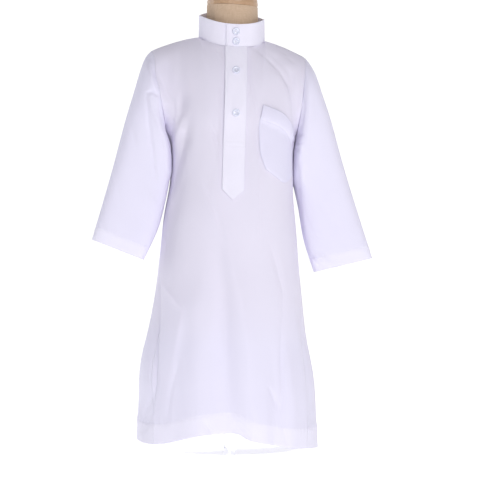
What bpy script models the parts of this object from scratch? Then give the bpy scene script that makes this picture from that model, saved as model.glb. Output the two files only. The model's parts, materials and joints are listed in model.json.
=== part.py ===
"""A child's thobe on a limbless dress form: cut pieces of cloth with real walls, and the form under them.

Lengths are millimetres until a mesh is finished, which turns them into metres. X points to the right
of the front view (the wearer's left), the front faces -Y and the floor is z = 0. Angles round the
body are degrees from the front centre, growing towards +X. The tables hold the garment hanging level,
and settle() gives it the slight lean to one side that it stands with.
"""

import math
from bisect import bisect_right
from collections import namedtuple

import bmesh
import bpy
from mathutils import Matrix, Vector
from mathutils.bvhtree import BVHTree

MM = 0.001
MIDDLE = Vector((4.2, -0.6, 0.0))  # middle of the whole part in the tables' frame, moved to the origin
LEAN = 0.05  # drop of the cloth and the form for each millimetre to the wearer's left

CLOTH_WALL = 1.1
BAND_WALL = 1.9  # where a hem or cuff is turned up
HEM_BAND = 32.0
CUFF_BAND = 22.0
FOLD_STEP = 1.0  # height of the step where a turned-up band ends
SEAM_TURN = 0.09  # half the gap at a side seam, in degrees round the body
SEAM_GAP = 0.3
SLEEVE_GAP = 0.4

ARMPIT_HEIGHT = 504.5
BODY_LENGTH = 484.0  # from the armpits down to the hem, taken as level
GORE_TURN = 21.4  # how far up the armhole each side piece reaches, in degrees round the armhole
GORE_HALF_HEM = 30.0  # half the side piece's width in degrees round the body
GORE_HALF_WAIST = 18.0
GORE_HALF_TOP = 10.0
ARMHOLE_PULL = 32.5  # height below the armpit over which the sides swing out to the armhole

NECK_CENTRE = 3.0
NECK_HALF_WIDTH = 53.5
NECK_FRONT = 50.0
NECK_BACK = 44.0
NECK_HEIGHT = 659.0
NECK_SLOPE = 0.32  # rise of the neckline from front to back, for each millimetre of depth
NECK_BEND = 1.5  # above 1, the neckline leaves the shoulder seams level
NECK_ARC = 35.0  # degrees that a panel curves over from the chest to the middle of the neckline
NECK_ARC_REACH = 0.42  # share of the half width beyond which a panel curves right over to the shoulder
NECK_SHARE = 5 / 12  # share of the panel's columns that end on the neckline
SHOULDER_BEND = 1.35

COLLAR_HEIGHT = 35.0
COLLAR_WALL = 1.8
COLLAR_GAP = 0.4  # from the neckline up to the collar
COLLAR_INSET = 0.5  # how far inside the neckline the collar stands
COLLAR_LAP = 2.4  # how far the over end stands out from the under end
COLLAR_OVER_END = -13.4  # degrees round the neck
COLLAR_UNDER_END = 384.0
COLLAR_LEAN_IN = 0.4  # how much smaller the top of the collar is

BUTTON_RADIUS = 6.0
BUTTON_DEPTH = 2.5

PANEL_COLUMNS = 24
GORE_COLUMNS = 4
SLEEVE_STEPS = 9  # round the front half of a sleeve, and the same round the back half
FORM_STEPS = 28
HEM_SHARE = HEM_BAND / BODY_LENGTH
HEM_STEP = HEM_SHARE + FOLD_STEP / BODY_LENGTH
LOWER_ROWS = (
    0, HEM_SHARE, HEM_STEP, 0.13, 0.20, 0.27, 0.34, 0.42, 0.50, 0.58, 0.66, 0.74, 0.82, 0.89, 0.95, 0.985, 1,
)
UPPER_ROWS = (0, 0.1, 0.22, 0.34, 0.46, 0.58, 0.70, 0.82, 0.92, 1)

Section = namedtuple("Section", "height centre half_width front back square")
BODY_SECTIONS = [
    Section(0, -3.7, 144.5, 124, 118, 2.10),
    Section(50, -3.7, 142, 120, 113, 2.12),
    Section(82, -3.7, 140.5, 117.5, 109.8, 2.14),
    Section(114, -4.5, 139.5, 114.6, 106.6, 2.16),
    Section(146, -5.0, 135.6, 111.4, 103.4, 2.18),
    Section(178, -4.5, 128.5, 108.2, 100.2, 2.20),
    Section(210, -3.5, 122.8, 105.1, 97, 2.22),
    Section(242, -2.0, 118, 102.2, 93.8, 2.25),
    Section(306, -1.3, 110.8, 96.7, 87.5, 2.30),
    Section(370, -0.2, 105.2, 94, 82.4, 2.35),
    Section(386, 0.0, 102.4, 93.5, 81.2, 2.38),
    Section(402, 0.7, 100.2, 93, 80, 2.40),
    Section(421, 2.3, 98.3, 91.6, 79, 2.42),
    Section(440, 3.2, 97.2, 90, 78, 2.45),
    Section(466, 3.1, 97.1, 88, 77.5, 2.50),
    Section(490, 2.75, 97.75, 85.5, 76.5, 2.50),
    Section(504.5, 2.4, 98.9, 84, 76, 2.50),
]

FORM_SECTIONS = [
    Section(240, 0, 84, 64, 64, 2.3),
    Section(252, 0, 90, 70, 70, 2.3),
    Section(300, 0, 92, 76, 74, 2.3),
    Section(360, 1, 90, 78, 70, 2.3),
    Section(420, 2, 88, 78, 68, 2.4),
    Section(470, 2, 88, 76, 68, 2.4),
    Section(504, 2, 91, 74, 68, 2.4),
    Section(545, 1, 97, 70, 66, 2.5),
    Section(585, 0, 102, 62, 60, 2.6),
    Section(612, -1, 106, 54, 53, 2.4),
    Section(630, -1, 108, 49, 49, 2.0),
    Section(637, -0.5, 107, 47.5, 47.5, 1.7),
    Section(642, 1, 103.5, 46, 46, 1.5),
    Section(646, 2, 93, 44.5, 44, 1.5),
    Section(650, 2.5, 83, 43, 42.5, 1.5),
    Section(653, 3, 74, 42.5, 41.5, 1.5),
    Section(654.8, 3, 65, 42, 40.5, 1.55),
    Section(656.2, 3.5, 51, 41.5, 40, 1.75),
    Section(658.5, 4, 46, 41, 39.5, 2.0),
    Section(665, 4, 43.5, 40.5, 39, 2.0),
    Section(674, 4, 41.2, 40, 38.5, 2.0),
    Section(711, 4, 40.8, 40, 38.5, 2.0),
]
SHOULDER_ROWS = (642, 654.8)  # the form's rows whose width follows the cloth's shoulder line
SHOULDER_DROP = 1.9  # from the cloth's outer skin down to the form's shoulder
FORM_CLEARANCE = 3.4  # from the inside of the cloth and the collar to the form elsewhere

HemPoint = namedtuple("HemPoint", "angle height")
HEM_LINE = [
    HemPoint(-180, 22), HemPoint(-140, 20), HemPoint(-90, 13), HemPoint(-66, 11.8), HemPoint(-50, 16.7),
    HemPoint(-40, 23), HemPoint(-24, 33), HemPoint(-14, 37), HemPoint(-4, 39), HemPoint(2, 39),
    HemPoint(6, 35.6), HemPoint(9, 31.5), HemPoint(17, 27), HemPoint(26, 24.4), HemPoint(38, 19.8),
    HemPoint(47, 17.7), HemPoint(62, 16.6), HemPoint(90, 15), HemPoint(140, 20), HemPoint(180, 22),
]

# A fold of the skirt runs from the hem up to its top, growing deeper on the way down.
SkirtFold = namedtuple("SkirtFold", "angle_top angle_hem top full depth width")
SKIRT_FOLDS = [
    SkirtFold(-16, -1, 430, 150, -8.0, 9),
    SkirtFold(16, 20, 300, 90, 3.0, 8),
    SkirtFold(37, 31.5, 210, 60, -4.0, 5),
    SkirtFold(47, 43, 190, 60, 3.5, 7),
    SkirtFold(-28, -27, 340, 120, 3.5, 9),
    SkirtFold(-42, -47, 270, 90, -4.5, 7),
    SkirtFold(-62, -66, 230, 70, 3.5, 6),
    SkirtFold(-74, -78, 140, 40, -3.5, 5),
    SkirtFold(104, 108, 240, 60, -4.0, 7),
    SkirtFold(126, 124, 260, 80, 4.0, 8),
    SkirtFold(150, 152, 330, 110, -7.0, 9),
    SkirtFold(172, 174, 300, 90, 4.5, 8),
    SkirtFold(-160, -166, 360, 110, -7.5, 9),
    SkirtFold(-146, -144, 280, 90, 4.0, 8),
    SkirtFold(-122, -125, 250, 70, -5.0, 8),
    SkirtFold(-104, -106, 210, 60, 3.0, 6),
]

# A drag fold runs across a panel from one point to another. Its face is -1 in front, 1 behind.
DragFold = namedtuple("DragFold", "face x1 z1 x2 z2 depth width")
DRAG_FOLDS = [
    DragFold(-1, 42, 647, 68, 624, -1.6, 5),
    DragFold(-1, 68, 624, 92, 598, -2.6, 6),
    DragFold(-1, 92, 598, 102, 560, -2.2, 6),
    DragFold(-1, -107, 608, -76, 548, -3.0, 10),
    DragFold(-1, -76, 548, -80, 494, -3.0, 10),
    DragFold(-1, -80, 494, -96, 429, -2.6, 9),
    DragFold(-1, -112, 254, -64, 226, 2.6, 9),
    DragFold(1, -92, 600, -70, 540, -3.0, 10),
    DragFold(1, 92, 600, 66, 530, -3.0, 10),
    DragFold(1, -58, 452, 10, 430, -2.4, 12),
]

# A ring of a sleeve, from the armhole to the cuff: its outermost and innermost points, and half its depth.
Ring = namedtuple("Ring", "step outer_x outer_z inner_x inner_z half_depth y")
SLEEVE_RINGS = {
    -1: [
        Ring(0, -124.8, 634.2, -104.0, 504.0, 48, 0),
        Ring(1, -134.4, 622.5, -101.9, 497.7, 50, 0),
        Ring(2, -142.4, 602.9, -99.2, 489.8, 51, 0),
        Ring(3, -152.0, 570.4, -96.8, 474.0, 50, 0),
        Ring(4, -166.4, 521.7, -96.0, 448.4, 44, 0),
        Ring(5, -179.2, 473.0, -98.0, 421.2, 38, -1),
        Ring(6, -190.4, 430.9, -103.8, 392.2, 32, -2),
        Ring(7, -204.8, 380.6, -115.6, 348.2, 25, -4),
        Ring(8, -220.0, 327.5, -138.0, 299.5, 17, -6),
    ],
    1: [
        Ring(0, 120.0, 636.8, 104.8, 504.8, 48, 0),
        Ring(1, 127.2, 627.6, 104.4, 498.4, 50, 0),
        Ring(2, 135.0, 614.0, 103.4, 490.3, 51, 0),
        Ring(3, 145.2, 585.5, 102.6, 474.3, 50, 0),
        Ring(4, 160.0, 541.5, 102.2, 448.7, 44, 0),
        Ring(5, 174.4, 491.0, 104.8, 423.2, 38, -1),
        Ring(6, 190.4, 437.5, 110.6, 394.5, 32, -2),
        Ring(7, 209.8, 377.5, 119.0, 343.5, 25, -4),
        Ring(8, 228.4, 320.5, 134.8, 293.5, 17, -6),
    ],
}
LAST_RING_LENGTH = 54.0
SLEEVE_SQUARE = 0.8  # power of the sine and cosine round a sleeve: 1 is an ellipse, less is squarer
CUFF_ROW = 8 - CUFF_BAND / LAST_RING_LENGTH
SLEEVE_ROWS = (0, 0.5, 1, 2, 3, 4, 5, 6, 7, CUFF_ROW - FOLD_STEP / LAST_RING_LENGTH, CUFF_ROW, 8)

PLACKET_HALF_WIDTH = 17.0
PLACKET_WALL = 1.5
PLACKET_LIFT = 0.75
PLACKET_TOP_CENTRE = 6.3
PLACKET_LOW_CENTRE = -2.6
PLACKET_CORNER_HEIGHT = 416.0
PLACKET_POINT_HEIGHT = 400.0
PLACKET_TOP_GAP = 1.2
PLACKET_LOOSE_EDGE = 1.5  # extra lift of the free edge
PLACKET_LOOSE_FROM, PLACKET_LOOSE_TO = 470.0, 610.0

PocketColumn = namedtuple("PocketColumn", "share angle top bottom")
POCKET_COLUMNS = [
    PocketColumn(0.0, 29.3, 552.0, 450.5),
    PocketColumn(0.5, 50.0, 540.0, 432.5),
    PocketColumn(1.0, 66.0, 514.0, 445.0),
]
PocketEdge = namedtuple("PocketEdge", "rise turn")
POCKET_EDGE = [  # how far round the body the pocket's front edge bows, by the share of its height
    PocketEdge(0, 0), PocketEdge(0.25, -4.8), PocketEdge(0.5, -5.4), PocketEdge(0.72, -4.8), PocketEdge(1, 0),
]
POCKET_WALL = 1.2
POCKET_LIFT = 0.65
POCKET_GAPE = 1.6  # extra lift in the middle of the pocket's mouth
POCKET_BAND = 0.235  # share of the pocket's height that is turned down at the mouth

ButtonPlace = namedtuple("ButtonPlace", "name x height")
COLLAR_BUTTONS = [
    ButtonPlace("collar_button_upper", 5.7, 667.0),
    ButtonPlace("collar_button_lower", 5.7, 651.4),
]
PLACKET_BUTTONS = [
    ButtonPlace("placket_button_upper", 4.2, 604.2),
    ButtonPlace("placket_button_lower", 2.8, 536.4),
]

POLE_RADIUS = 10.0
BASE_RADIUS = 110.0
BASE_THICKNESS = 6.0
BASE_EDGE = 1.5
CAP_HEIGHT = 24.0
TOUCH = 0.3  # gap between pieces that rest on each other

# Colour as seen (0 to 255 for red, green and blue), then roughness and metallic.
Finish = namedtuple("Finish", "red green blue roughness metallic")
WHITE_CLOTH = Finish(238, 236, 252, 0.85, 0.0)
DOUBLE_CLOTH = Finish(243, 240, 255, 0.85, 0.0)
PEARL = Finish(228, 228, 238, 0.25, 0.0)
LINEN = Finish(221, 197, 171, 0.9, 0.0)
BEECH = Finish(193, 150, 110, 0.5, 0.0)
CLEAR_ACRYLIC = Finish(238, 243, 245, 0.05, 0.0)


def smooth_step(low, high, value):
    share = min(max((value - low) / (high - low), 0.0), 1.0)
    return share * share * (3 - 2 * share)


def mix(start, end, share):
    return start + (end - start) * share


def spread(start, end, steps):
    return [mix(start, end, step / steps) for step in range(steps + 1)]


def between(rows, place):
    """The row of a table at a place between its rows; the first column is the place."""
    places = [row[0] for row in rows]
    place = min(max(place, places[0]), places[-1])
    low = min(max(bisect_right(places, place) - 1, 0), len(rows) - 2)
    span = places[low + 1] - places[low]
    share = (place - places[low]) / span

    def slope(index, column):
        before, after = max(index - 1, 0), min(index + 1, len(rows) - 1)
        return (rows[after][column] - rows[before][column]) / (places[after] - places[before])

    values = []
    for column in range(1, len(rows[0])):
        start, end = rows[low][column], rows[low + 1][column]
        rise, fall = slope(low, column) * span, slope(low + 1, column) * span
        bend = rise - (end - start), (end - start) - fall
        curve = mix(bend[0], bend[1], share)
        values.append(mix(start, end, share) + share * (1 - share) * curve)
    return type(rows[0])(place, *values)


def ring_reach(section, angle):
    """How far a section reaches from its centre at an angle round the body, in radians."""
    depth = section.front if math.cos(angle) > 0 else section.back
    sideways = abs(math.sin(angle) / section.half_width) ** section.square
    lengthways = abs(math.cos(angle) / depth) ** section.square
    return (sideways + lengthways) ** (-1 / section.square)


def turned(degrees):
    """An angle brought between -180 and 180 degrees."""
    return (degrees + 180) % 360 - 180


def skirt_fold(degrees, height):
    total = 0.0
    for fold in SKIRT_FOLDS:
        down = min(max((fold.top - height) / fold.top, 0.0), 1.0)
        middle = mix(fold.angle_top, fold.angle_hem, down)
        growth = smooth_step(fold.top, fold.full, height)
        total += fold.depth * growth * math.exp(-((turned(degrees - middle) / fold.width) ** 2))
    return total


def drag_fold(point, face):
    """How far the drag folds of one face move a point of it outwards."""
    total = 0.0
    for fold in DRAG_FOLDS:
        if fold.face != face:
            continue
        along = Vector((fold.x2 - fold.x1, fold.z2 - fold.z1))
        out = Vector((point.x - fold.x1, point.z - fold.z1))
        share = min(max(out.dot(along) / along.length_squared, 0.0), 1.0)
        aside = (out - along * share).length
        total += fold.depth * math.exp(-((aside / fold.width) ** 2))
    return total


def plain_body(degrees, height):
    section = between(BODY_SECTIONS, height)
    angle = math.radians(degrees)
    reach = ring_reach(section, angle) + skirt_fold(degrees, height)
    return Vector((section.centre + reach * math.sin(angle), -reach * math.cos(angle), height))


def ring_point(ring, turn):
    """Point of a sleeve's ring, turn degrees from its innermost point forwards and up to its outermost."""
    angle = math.radians(turn)
    inner = Vector((ring.inner_x, ring.y, ring.inner_z))
    outer = Vector((ring.outer_x, ring.y, ring.outer_z))
    centre, half = (inner + outer) / 2, (outer - inner) / 2
    power = mix(1.0, SLEEVE_SQUARE, smooth_step(0, 2, ring.step))
    across = math.copysign(abs(math.cos(angle)) ** power, math.cos(angle))
    forward = math.copysign(abs(math.sin(angle)) ** power, math.sin(angle))
    return centre - half * across - Vector((0, ring.half_depth * forward, 0))


def armhole(side, turn):
    return ring_point(SLEEVE_RINGS[side][0], turn)


def armhole_facing(side):
    """Unit vector square to the armhole, from the body towards the sleeve."""
    ring = SLEEVE_RINGS[side][0]
    across = Vector((ring.outer_z - ring.inner_z, 0, ring.inner_x - ring.outer_x))
    return across.normalized() * side


def body(degrees, height):
    """Outer skin below the armpits, with the sides swung out to the armholes' undersides."""
    degrees = turned(degrees)
    point = plain_body(degrees, height)
    pull = max(0.0, 1 - (ARMPIT_HEIGHT - height) / ARMHOLE_PULL) ** 2
    if pull > 0:
        side = 1 if degrees > 0 else -1
        forward = 90 - abs(degrees)
        near = min(max(forward, -GORE_HALF_TOP), GORE_HALF_TOP)
        target = armhole(side, near / GORE_HALF_TOP * GORE_TURN)
        shift = target - plain_body(side * (90 - near), ARMPIT_HEIGHT)
        point += shift * pull * side_weight((90 - abs(forward)) / (90 - GORE_HALF_TOP))
    face = -1 if abs(degrees) < 90 else 1
    edge_fade = smooth_step(98, 80, abs(point.x)) if height > 300 else 1.0
    point.y += face * drag_fold(point, face) * edge_fade
    return point


def side_weight(share):
    """How closely a point follows the armhole's edge: 0 near the middle of a panel, 1 at its side."""
    return min(max((share - 0.45) / 0.55, 0.0), 1.0) ** 2


def hem_height(degrees):
    return between(HEM_LINE, turned(degrees)).height


def seam_angle(share_up):
    """Degrees from the front or back centre to the side seams, by the share of the height to the armpit."""
    if share_up < 0.5:
        return 90 - mix(GORE_HALF_HEM, GORE_HALF_WAIST, share_up * 2)
    return 90 - mix(GORE_HALF_WAIST, GORE_HALF_TOP, share_up * 2 - 1)


def lower_point(degrees, share_up):
    hem = hem_height(degrees)
    return body(degrees, mix(hem, ARMPIT_HEIGHT, share_up))


def neckline(degrees):
    angle = math.radians(degrees)
    depth = NECK_FRONT if math.cos(angle) > 0 else NECK_BACK
    x, y = NECK_CENTRE + NECK_HALF_WIDTH * math.sin(angle), -depth * math.cos(angle)
    return Vector((x, y, NECK_HEIGHT + NECK_SLOPE * y * abs(math.cos(angle)) ** (NECK_BEND - 1)))


def top_edge(u, face):
    """Neckline and shoulder seam of a panel, for u from -1 to 1 across it."""
    if abs(u) <= NECK_SHARE + 1e-6:
        degrees = 90 * u / NECK_SHARE
        return neckline(degrees if face < 0 else 180 - degrees)
    side = 1 if u > 0 else -1
    share = (abs(u) - NECK_SHARE) / (1 - NECK_SHARE)
    tip = armhole(side, 180)
    x = mix(NECK_CENTRE + side * NECK_HALF_WIDTH, tip.x, share)
    return Vector((x, 0, mix(NECK_HEIGHT, tip.z, share**SHOULDER_BEND)))


def chest_angle(u, face):
    """Degrees round the body of column u of a panel, at the armpits."""
    half = 90 - GORE_HALF_TOP - SEAM_TURN
    return u * half if face < 0 else 180 - u * half


def plain_upper(u, rise, face):
    low, top = body(chest_angle(u, face), ARMPIT_HEIGHT), top_edge(u, face)
    arc = math.radians(mix(90, NECK_ARC, smooth_step(NECK_ARC_REACH, 0, abs(u))))
    inwards = (1 - math.cos(rise * arc)) / (1 - math.cos(arc))
    upwards = math.sin(rise * arc) / math.sin(arc)
    return Vector((mix(low.x, top.x, rise), mix(low.y, top.y, inwards), mix(low.z, top.z, upwards)))


def upper_point(u, rise, face):
    """Outer skin above the armpits: from the chest to the neckline, the shoulder seam and the armhole."""
    side = 1 if u > 0 else -1
    point = plain_upper(u, rise, face)
    turn = mix(GORE_TURN, 180, rise)
    hole = armhole(side, turn if face < 0 else -turn)
    if rise > 0:
        point += (hole - plain_upper(side, rise, face)) * side_weight(abs(u))
    fade = smooth_step(1.0, 0.9, abs(u)) * smooth_step(0, 0.12, rise) * smooth_step(1.0, 0.93, rise)
    point.y += face * drag_fold(point, face) * fade
    point.y += face * SEAM_GAP / 2 * smooth_step(0.8, 1.0, rise) * (1 if abs(u) > NECK_SHARE - 0.01 else 0)
    return point


def panel_point(u, v, face):
    """Outer skin of a panel: v runs from 0 at the hem over 1 at the armpits to 2 at the top."""
    if v <= 1:
        half = seam_angle(v) - SEAM_TURN
        return lower_point(u * half if face < 0 else 180 - u * half, v)
    return upper_point(u, v - 1, face)


def round_body(degrees):
    """Unit vector round the body, towards growing angles."""
    return Vector((math.cos(math.radians(degrees)), math.sin(math.radians(degrees)), 0))


def keep_off(facing, inward):
    """The step to an inner edge, kept from leaning across the seam that it faces into the next piece."""
    return inward - facing * max(inward.dot(facing), 0.0)


def settle(point):
    """From the tables' frame to the finished one: the lean, the origin and metres."""
    leaning = Vector((point.x, point.y, point.z - LEAN * point.x))
    return (leaning - MIDDLE) * MM


def shade(value):
    """Linear light of a colour value from 0 to 255."""
    value /= 255
    return value / 12.92 if value <= 0.04045 else ((value + 0.055) / 1.055) ** 2.4


def finish_material(name, finish):
    material = bpy.data.materials.new(name)
    material.use_nodes = True
    shader = material.node_tree.nodes["Principled BSDF"]
    colour = [shade(value) for value in finish[:3]] + [1.0]
    shader.inputs["Base Color"].default_value = colour
    shader.inputs["Roughness"].default_value = finish.roughness
    shader.inputs["Metallic"].default_value = finish.metallic
    material.diffuse_color = colour
    return material


def add_object(part, name, mesh, finish):
    obj = bpy.data.objects.new(name, mesh)
    mesh.materials.append(finish_material(name, finish))
    part.objects.link(obj)
    return obj


def mesh_object(part, name, bm, finish):
    """Turns a closed bmesh in the tables' frame into an object, shaded smooth between its sharp rims."""
    for vert in bm.verts:
        vert.co = settle(vert.co)
    bmesh.ops.recalc_face_normals(bm, faces=bm.faces)
    mesh = bpy.data.meshes.new(name)
    bm.to_mesh(mesh)
    bm.free()
    mesh.shade_smooth()
    mesh.set_sharp_from_angle(angle=math.radians(50))
    return add_object(part, name, mesh, finish)


def cloth(part, name, across, up, surface, finish, wall=None, wraps=False, trim=None):
    """A wall of cloth. Its outer skin follows surface(u, v), with u to the right of v seen from outside.

    wall(u, v) is its thickness and trim(u, v, inward) corrects the step to its inner skin. Returns the
    outer skin as a tree that rays can be cast at.
    """
    bm = bmesh.new()
    columns, rows = len(across) - 1, len(up) - 1
    bmesh.ops.create_grid(bm, x_segments=columns, y_segments=rows, size=0.5)
    inward = bm.verts.layers.float_vector.new("inward")
    places = {}
    for vert in bm.verts:
        u, v = across[round((vert.co.x + 0.5) * columns)], up[round((vert.co.y + 0.5) * rows)]
        places[vert] = u, v
        vert.co = surface(u, v)
    bm.normal_update()
    if wraps:
        join_ends(bm, places)
    for vert in bm.verts:
        u, v = places[vert]
        step = -vert.normal * (wall(u, v) if wall else CLOTH_WALL)
        vert[inward] = trim(u, v, step) if trim else step
    tree = BVHTree.FromBMesh(bm)
    lining = bmesh.ops.extrude_face_region(bm, geom=list(bm.faces))["geom"]
    for vert in lining:
        if isinstance(vert, bmesh.types.BMVert):
            vert.co += vert[inward]
    mesh_object(part, name, bm, finish)
    return tree


def join_ends(bm, places):
    """Welds the first and last columns of a tube, and drops the welded points from the table of places."""
    bmesh.ops.remove_doubles(bm, verts=list(bm.verts), dist=0.01)
    for vert in list(places):
        if not vert.is_valid:
            del places[vert]
    bm.normal_update()


def body_wall(u, v):
    return BAND_WALL if v <= HEM_SHARE else CLOTH_WALL


def add_panels(part):
    across = spread(-1, 1, PANEL_COLUMNS)
    up = list(LOWER_ROWS) + [1 + rise for rise in UPPER_ROWS[1:]]

    skins = {}
    for name, face in (("front_panel", -1), ("back_panel", 1)):

        def surface(u, v, face=face):
            return panel_point(u, v, face)

        def trim(u, v, inward, face=face):
            if abs(u) > 0.999:
                side = 1 if u > 0 else -1
                angle = seam_angle(min(v, 1)) * u
                inward = keep_off(round_body(angle if face < 0 else 180 - angle) * -face * side, inward)
                inward = keep_off(armhole_facing(side), inward) if v >= 1 else inward
            on_shoulder = v > 1.999 and abs(u) > NECK_SHARE - 1e-6
            return keep_off(Vector((0, -face, 0)), inward) if on_shoulder else inward

        skins[name] = cloth(part, name, across[::-face], up, surface, WHITE_CLOTH, body_wall, trim=trim)
    return skins["front_panel"], skins["back_panel"]


def add_gores(part):
    for name, side in (("side_gore_right", -1), ("side_gore_left", 1)):

        def surface(u, v, side=side):
            half = 90 - seam_angle(v) - SEAM_TURN
            return lower_point(side * 90 + u * half, v)

        def trim(u, v, inward, side=side):
            if abs(u) < 0.999:
                return inward
            return keep_off(round_body(side * 90 + u * (90 - seam_angle(v))) * u, inward)

        cloth(part, name, spread(-1, 1, GORE_COLUMNS), LOWER_ROWS, surface, WHITE_CLOTH, body_wall, trim=trim)


def sleeve_point(side, turn, row):
    point = ring_point(between(SLEEVE_RINGS[side], row), turn)
    gap = SLEEVE_GAP * max(0.0, 1 - row)
    return point + armhole_facing(side) * gap


def add_sleeves(part):
    front = spread(GORE_TURN, 180, SLEEVE_STEPS)
    under = spread(-GORE_TURN, GORE_TURN, GORE_COLUMNS)
    turns = [-turn for turn in front[::-1]] + under[1:-1] + front
    for name, side in (("sleeve_right", -1), ("sleeve_left", 1)):

        def surface(u, v, side=side):
            return sleeve_point(side, u, v)

        def trim(u, v, inward, side=side):
            return inward if v > 0 else keep_off(-armhole_facing(side), inward)

        cloth(
            part, name, turns[::-side], SLEEVE_ROWS, surface, WHITE_CLOTH,
            lambda u, v: BAND_WALL if v > CUFF_ROW - 0.001 else CLOTH_WALL, wraps=True, trim=trim,
        )


def collar_point(turn, up):
    """Outer skin of the collar; turn runs from its over end, round the neck, to its under end."""
    angle = math.radians(turn)
    lap = COLLAR_LAP * smooth_step(70, 30, turn)
    out = lap - COLLAR_INSET - COLLAR_LEAN_IN * up
    step = Vector((out * math.sin(angle), -out * math.cos(angle), COLLAR_GAP + COLLAR_HEIGHT * up))
    return neckline(turn) + step


def add_collar(part):
    lapped = spread(COLLAR_OVER_END, 30, 5)
    round_neck = spread(30, 350, 26)
    under = spread(350, COLLAR_UNDER_END, 4)
    turns = lapped + round_neck[1:] + under[1:]
    return cloth(
        part, "collar_stand", turns, (0, 0.5, 1), collar_point, DOUBLE_CLOTH, lambda u, v: COLLAR_WALL
    )


def seen_from_front(tree, x, height):
    """Point of a skin that a level line meets, going straight back from the front."""
    hit, normal, _, _ = tree.ray_cast(Vector((x, -400, height)), Vector((0, 1, 0)))
    return hit, normal


def soft_normal(points):
    """Normal of a small patch given by its left, right, lower and upper points."""
    left, right, low, high = points
    return (right - left).cross(high - low).normalized()


def placket_place(tree, across, height):
    """Point and normal on the front panel; across is the distance from the placket's middle."""
    share = (height - PLACKET_CORNER_HEIGHT) / (NECK_HEIGHT - PLACKET_CORNER_HEIGHT)
    x = mix(PLACKET_LOW_CENTRE, PLACKET_TOP_CENTRE, share) + across
    patch = [seen_from_front(tree, x + dx, height + dz)[0] for dx, dz in ((-5, 0), (5, 0), (0, -5), (0, 0.2))]
    return seen_from_front(tree, x, height)[0], soft_normal(patch)


def neckline_height(x):
    share = min(max((x - NECK_CENTRE) / NECK_HALF_WIDTH, -1.0), 1.0)
    return neckline(math.degrees(math.asin(share))).z


def placket_point(tree, u, v):
    across = PLACKET_HALF_WIDTH * u
    bottom = mix(PLACKET_POINT_HEIGHT, PLACKET_CORNER_HEIGHT, abs(u))
    top = neckline_height(PLACKET_TOP_CENTRE + across) - PLACKET_TOP_GAP
    height = mix(bottom, top, v)
    loose = smooth_step(PLACKET_LOOSE_FROM, PLACKET_LOOSE_FROM + 50, height)
    loose *= smooth_step(PLACKET_LOOSE_TO, PLACKET_LOOSE_TO - 50, height) * smooth_step(-0.2, -1.0, u)
    point, normal = placket_place(tree, across, height)
    return point + normal * (PLACKET_LIFT + PLACKET_WALL + PLACKET_LOOSE_EDGE * loose)


def add_placket(part, front):
    return cloth(
        part, "placket", spread(-1, 1, 6), spread(0, 1, 18), lambda u, v: placket_point(front, u, v),
        DOUBLE_CLOTH, lambda u, v: PLACKET_WALL,
    )


def round_place(tree, degrees, height):
    """Point of a skin that a level line meets, coming in to the body's middle at an angle."""
    angle = math.radians(degrees)
    out = Vector((math.sin(angle), -math.cos(angle), 0))
    middle = Vector((NECK_CENTRE, 0, height))
    return tree.ray_cast(middle + out * 300, -out)[0]


def pocket_point(tree, u, v):
    column = between(POCKET_COLUMNS, u)
    height = mix(column.bottom, column.top, v)
    degrees = column.angle + between(POCKET_EDGE, v).turn * (1 - u) ** 2
    patch = [
        round_place(tree, degrees + turn, height + rise)
        for turn, rise in ((-3, 0), (3, 0), (0, -5), (0, 5))
    ]
    gape = POCKET_GAPE * smooth_step(0.6, 1.0, v) * math.sin(math.pi * u)
    return round_place(tree, degrees, height) + soft_normal(patch) * (POCKET_LIFT + POCKET_WALL + gape)


def add_pocket(part, front):
    up = spread(0, 1 - POCKET_BAND, 6) + [1 - POCKET_BAND + 0.012, 1]

    def wall(u, v):
        return POCKET_WALL if v < 1 - POCKET_BAND / 2 else POCKET_WALL + 0.2

    def surface(u, v):
        step = 0.4 if v > 1 - POCKET_BAND + 0.006 else 0.0
        point = pocket_point(front, u, v)
        return point + (point - Vector((NECK_CENTRE, 0, point.z))).normalized() * step

    cloth(part, "chest_pocket", spread(0, 1, 7), up, surface, DOUBLE_CLOTH, wall)


def add_button(part, place, surface_tree):
    """A round button with a raised rim and a shallow dish, turned about its own axis."""
    rim, edge, dish = BUTTON_RADIUS, BUTTON_DEPTH * 0.45, BUTTON_RADIUS * 0.62
    profile = [
        (0, BUTTON_DEPTH * 0.68), (dish * 0.75, BUTTON_DEPTH * 0.7), (dish, BUTTON_DEPTH),
        (rim * 0.86, BUTTON_DEPTH), (rim, edge), (rim * 0.8, 0), (0, 0),
    ]
    obj = turned_object(part, place.name, profile, PEARL, 16)
    patch = [
        seen_from_front(surface_tree, place.x + dx, place.height + dz)[0]
        for dx, dz in ((-4, 0), (4, 0), (0, -4), (0, 4))
    ]
    normal = soft_normal(patch)
    high = max(patch, key=lambda point: (point - patch[0]).dot(normal))
    middle = seen_from_front(surface_tree, place.x, place.height)[0]
    lift = TOUCH + max(0.0, (high - middle).dot(normal))
    seat = Matrix.Translation(settle(middle + normal * lift))
    obj.matrix_world = seat @ normal.to_track_quat("Z", "Y").to_matrix().to_4x4()


def turned_object(part, name, profile, finish, steps):
    """A profile of (radius, height) points in millimetres turned about Z, from the top's middle down."""
    mesh = bpy.data.meshes.new(name)
    points = [(radius * MM, 0, height * MM) for radius, height in profile]
    edges = [(index, index + 1) for index in range(len(points) - 1)]
    mesh.from_pydata(points, edges, [])
    obj = add_object(part, name, mesh, finish)
    screw = obj.modifiers.new("turn", "SCREW")
    screw.axis = "Z"
    screw.angle = math.tau
    screw.steps = screw.render_steps = steps
    screw.use_merge_vertices = True
    screw.merge_threshold = 0.00005
    screw.use_smooth_shade = True
    return obj


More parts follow.
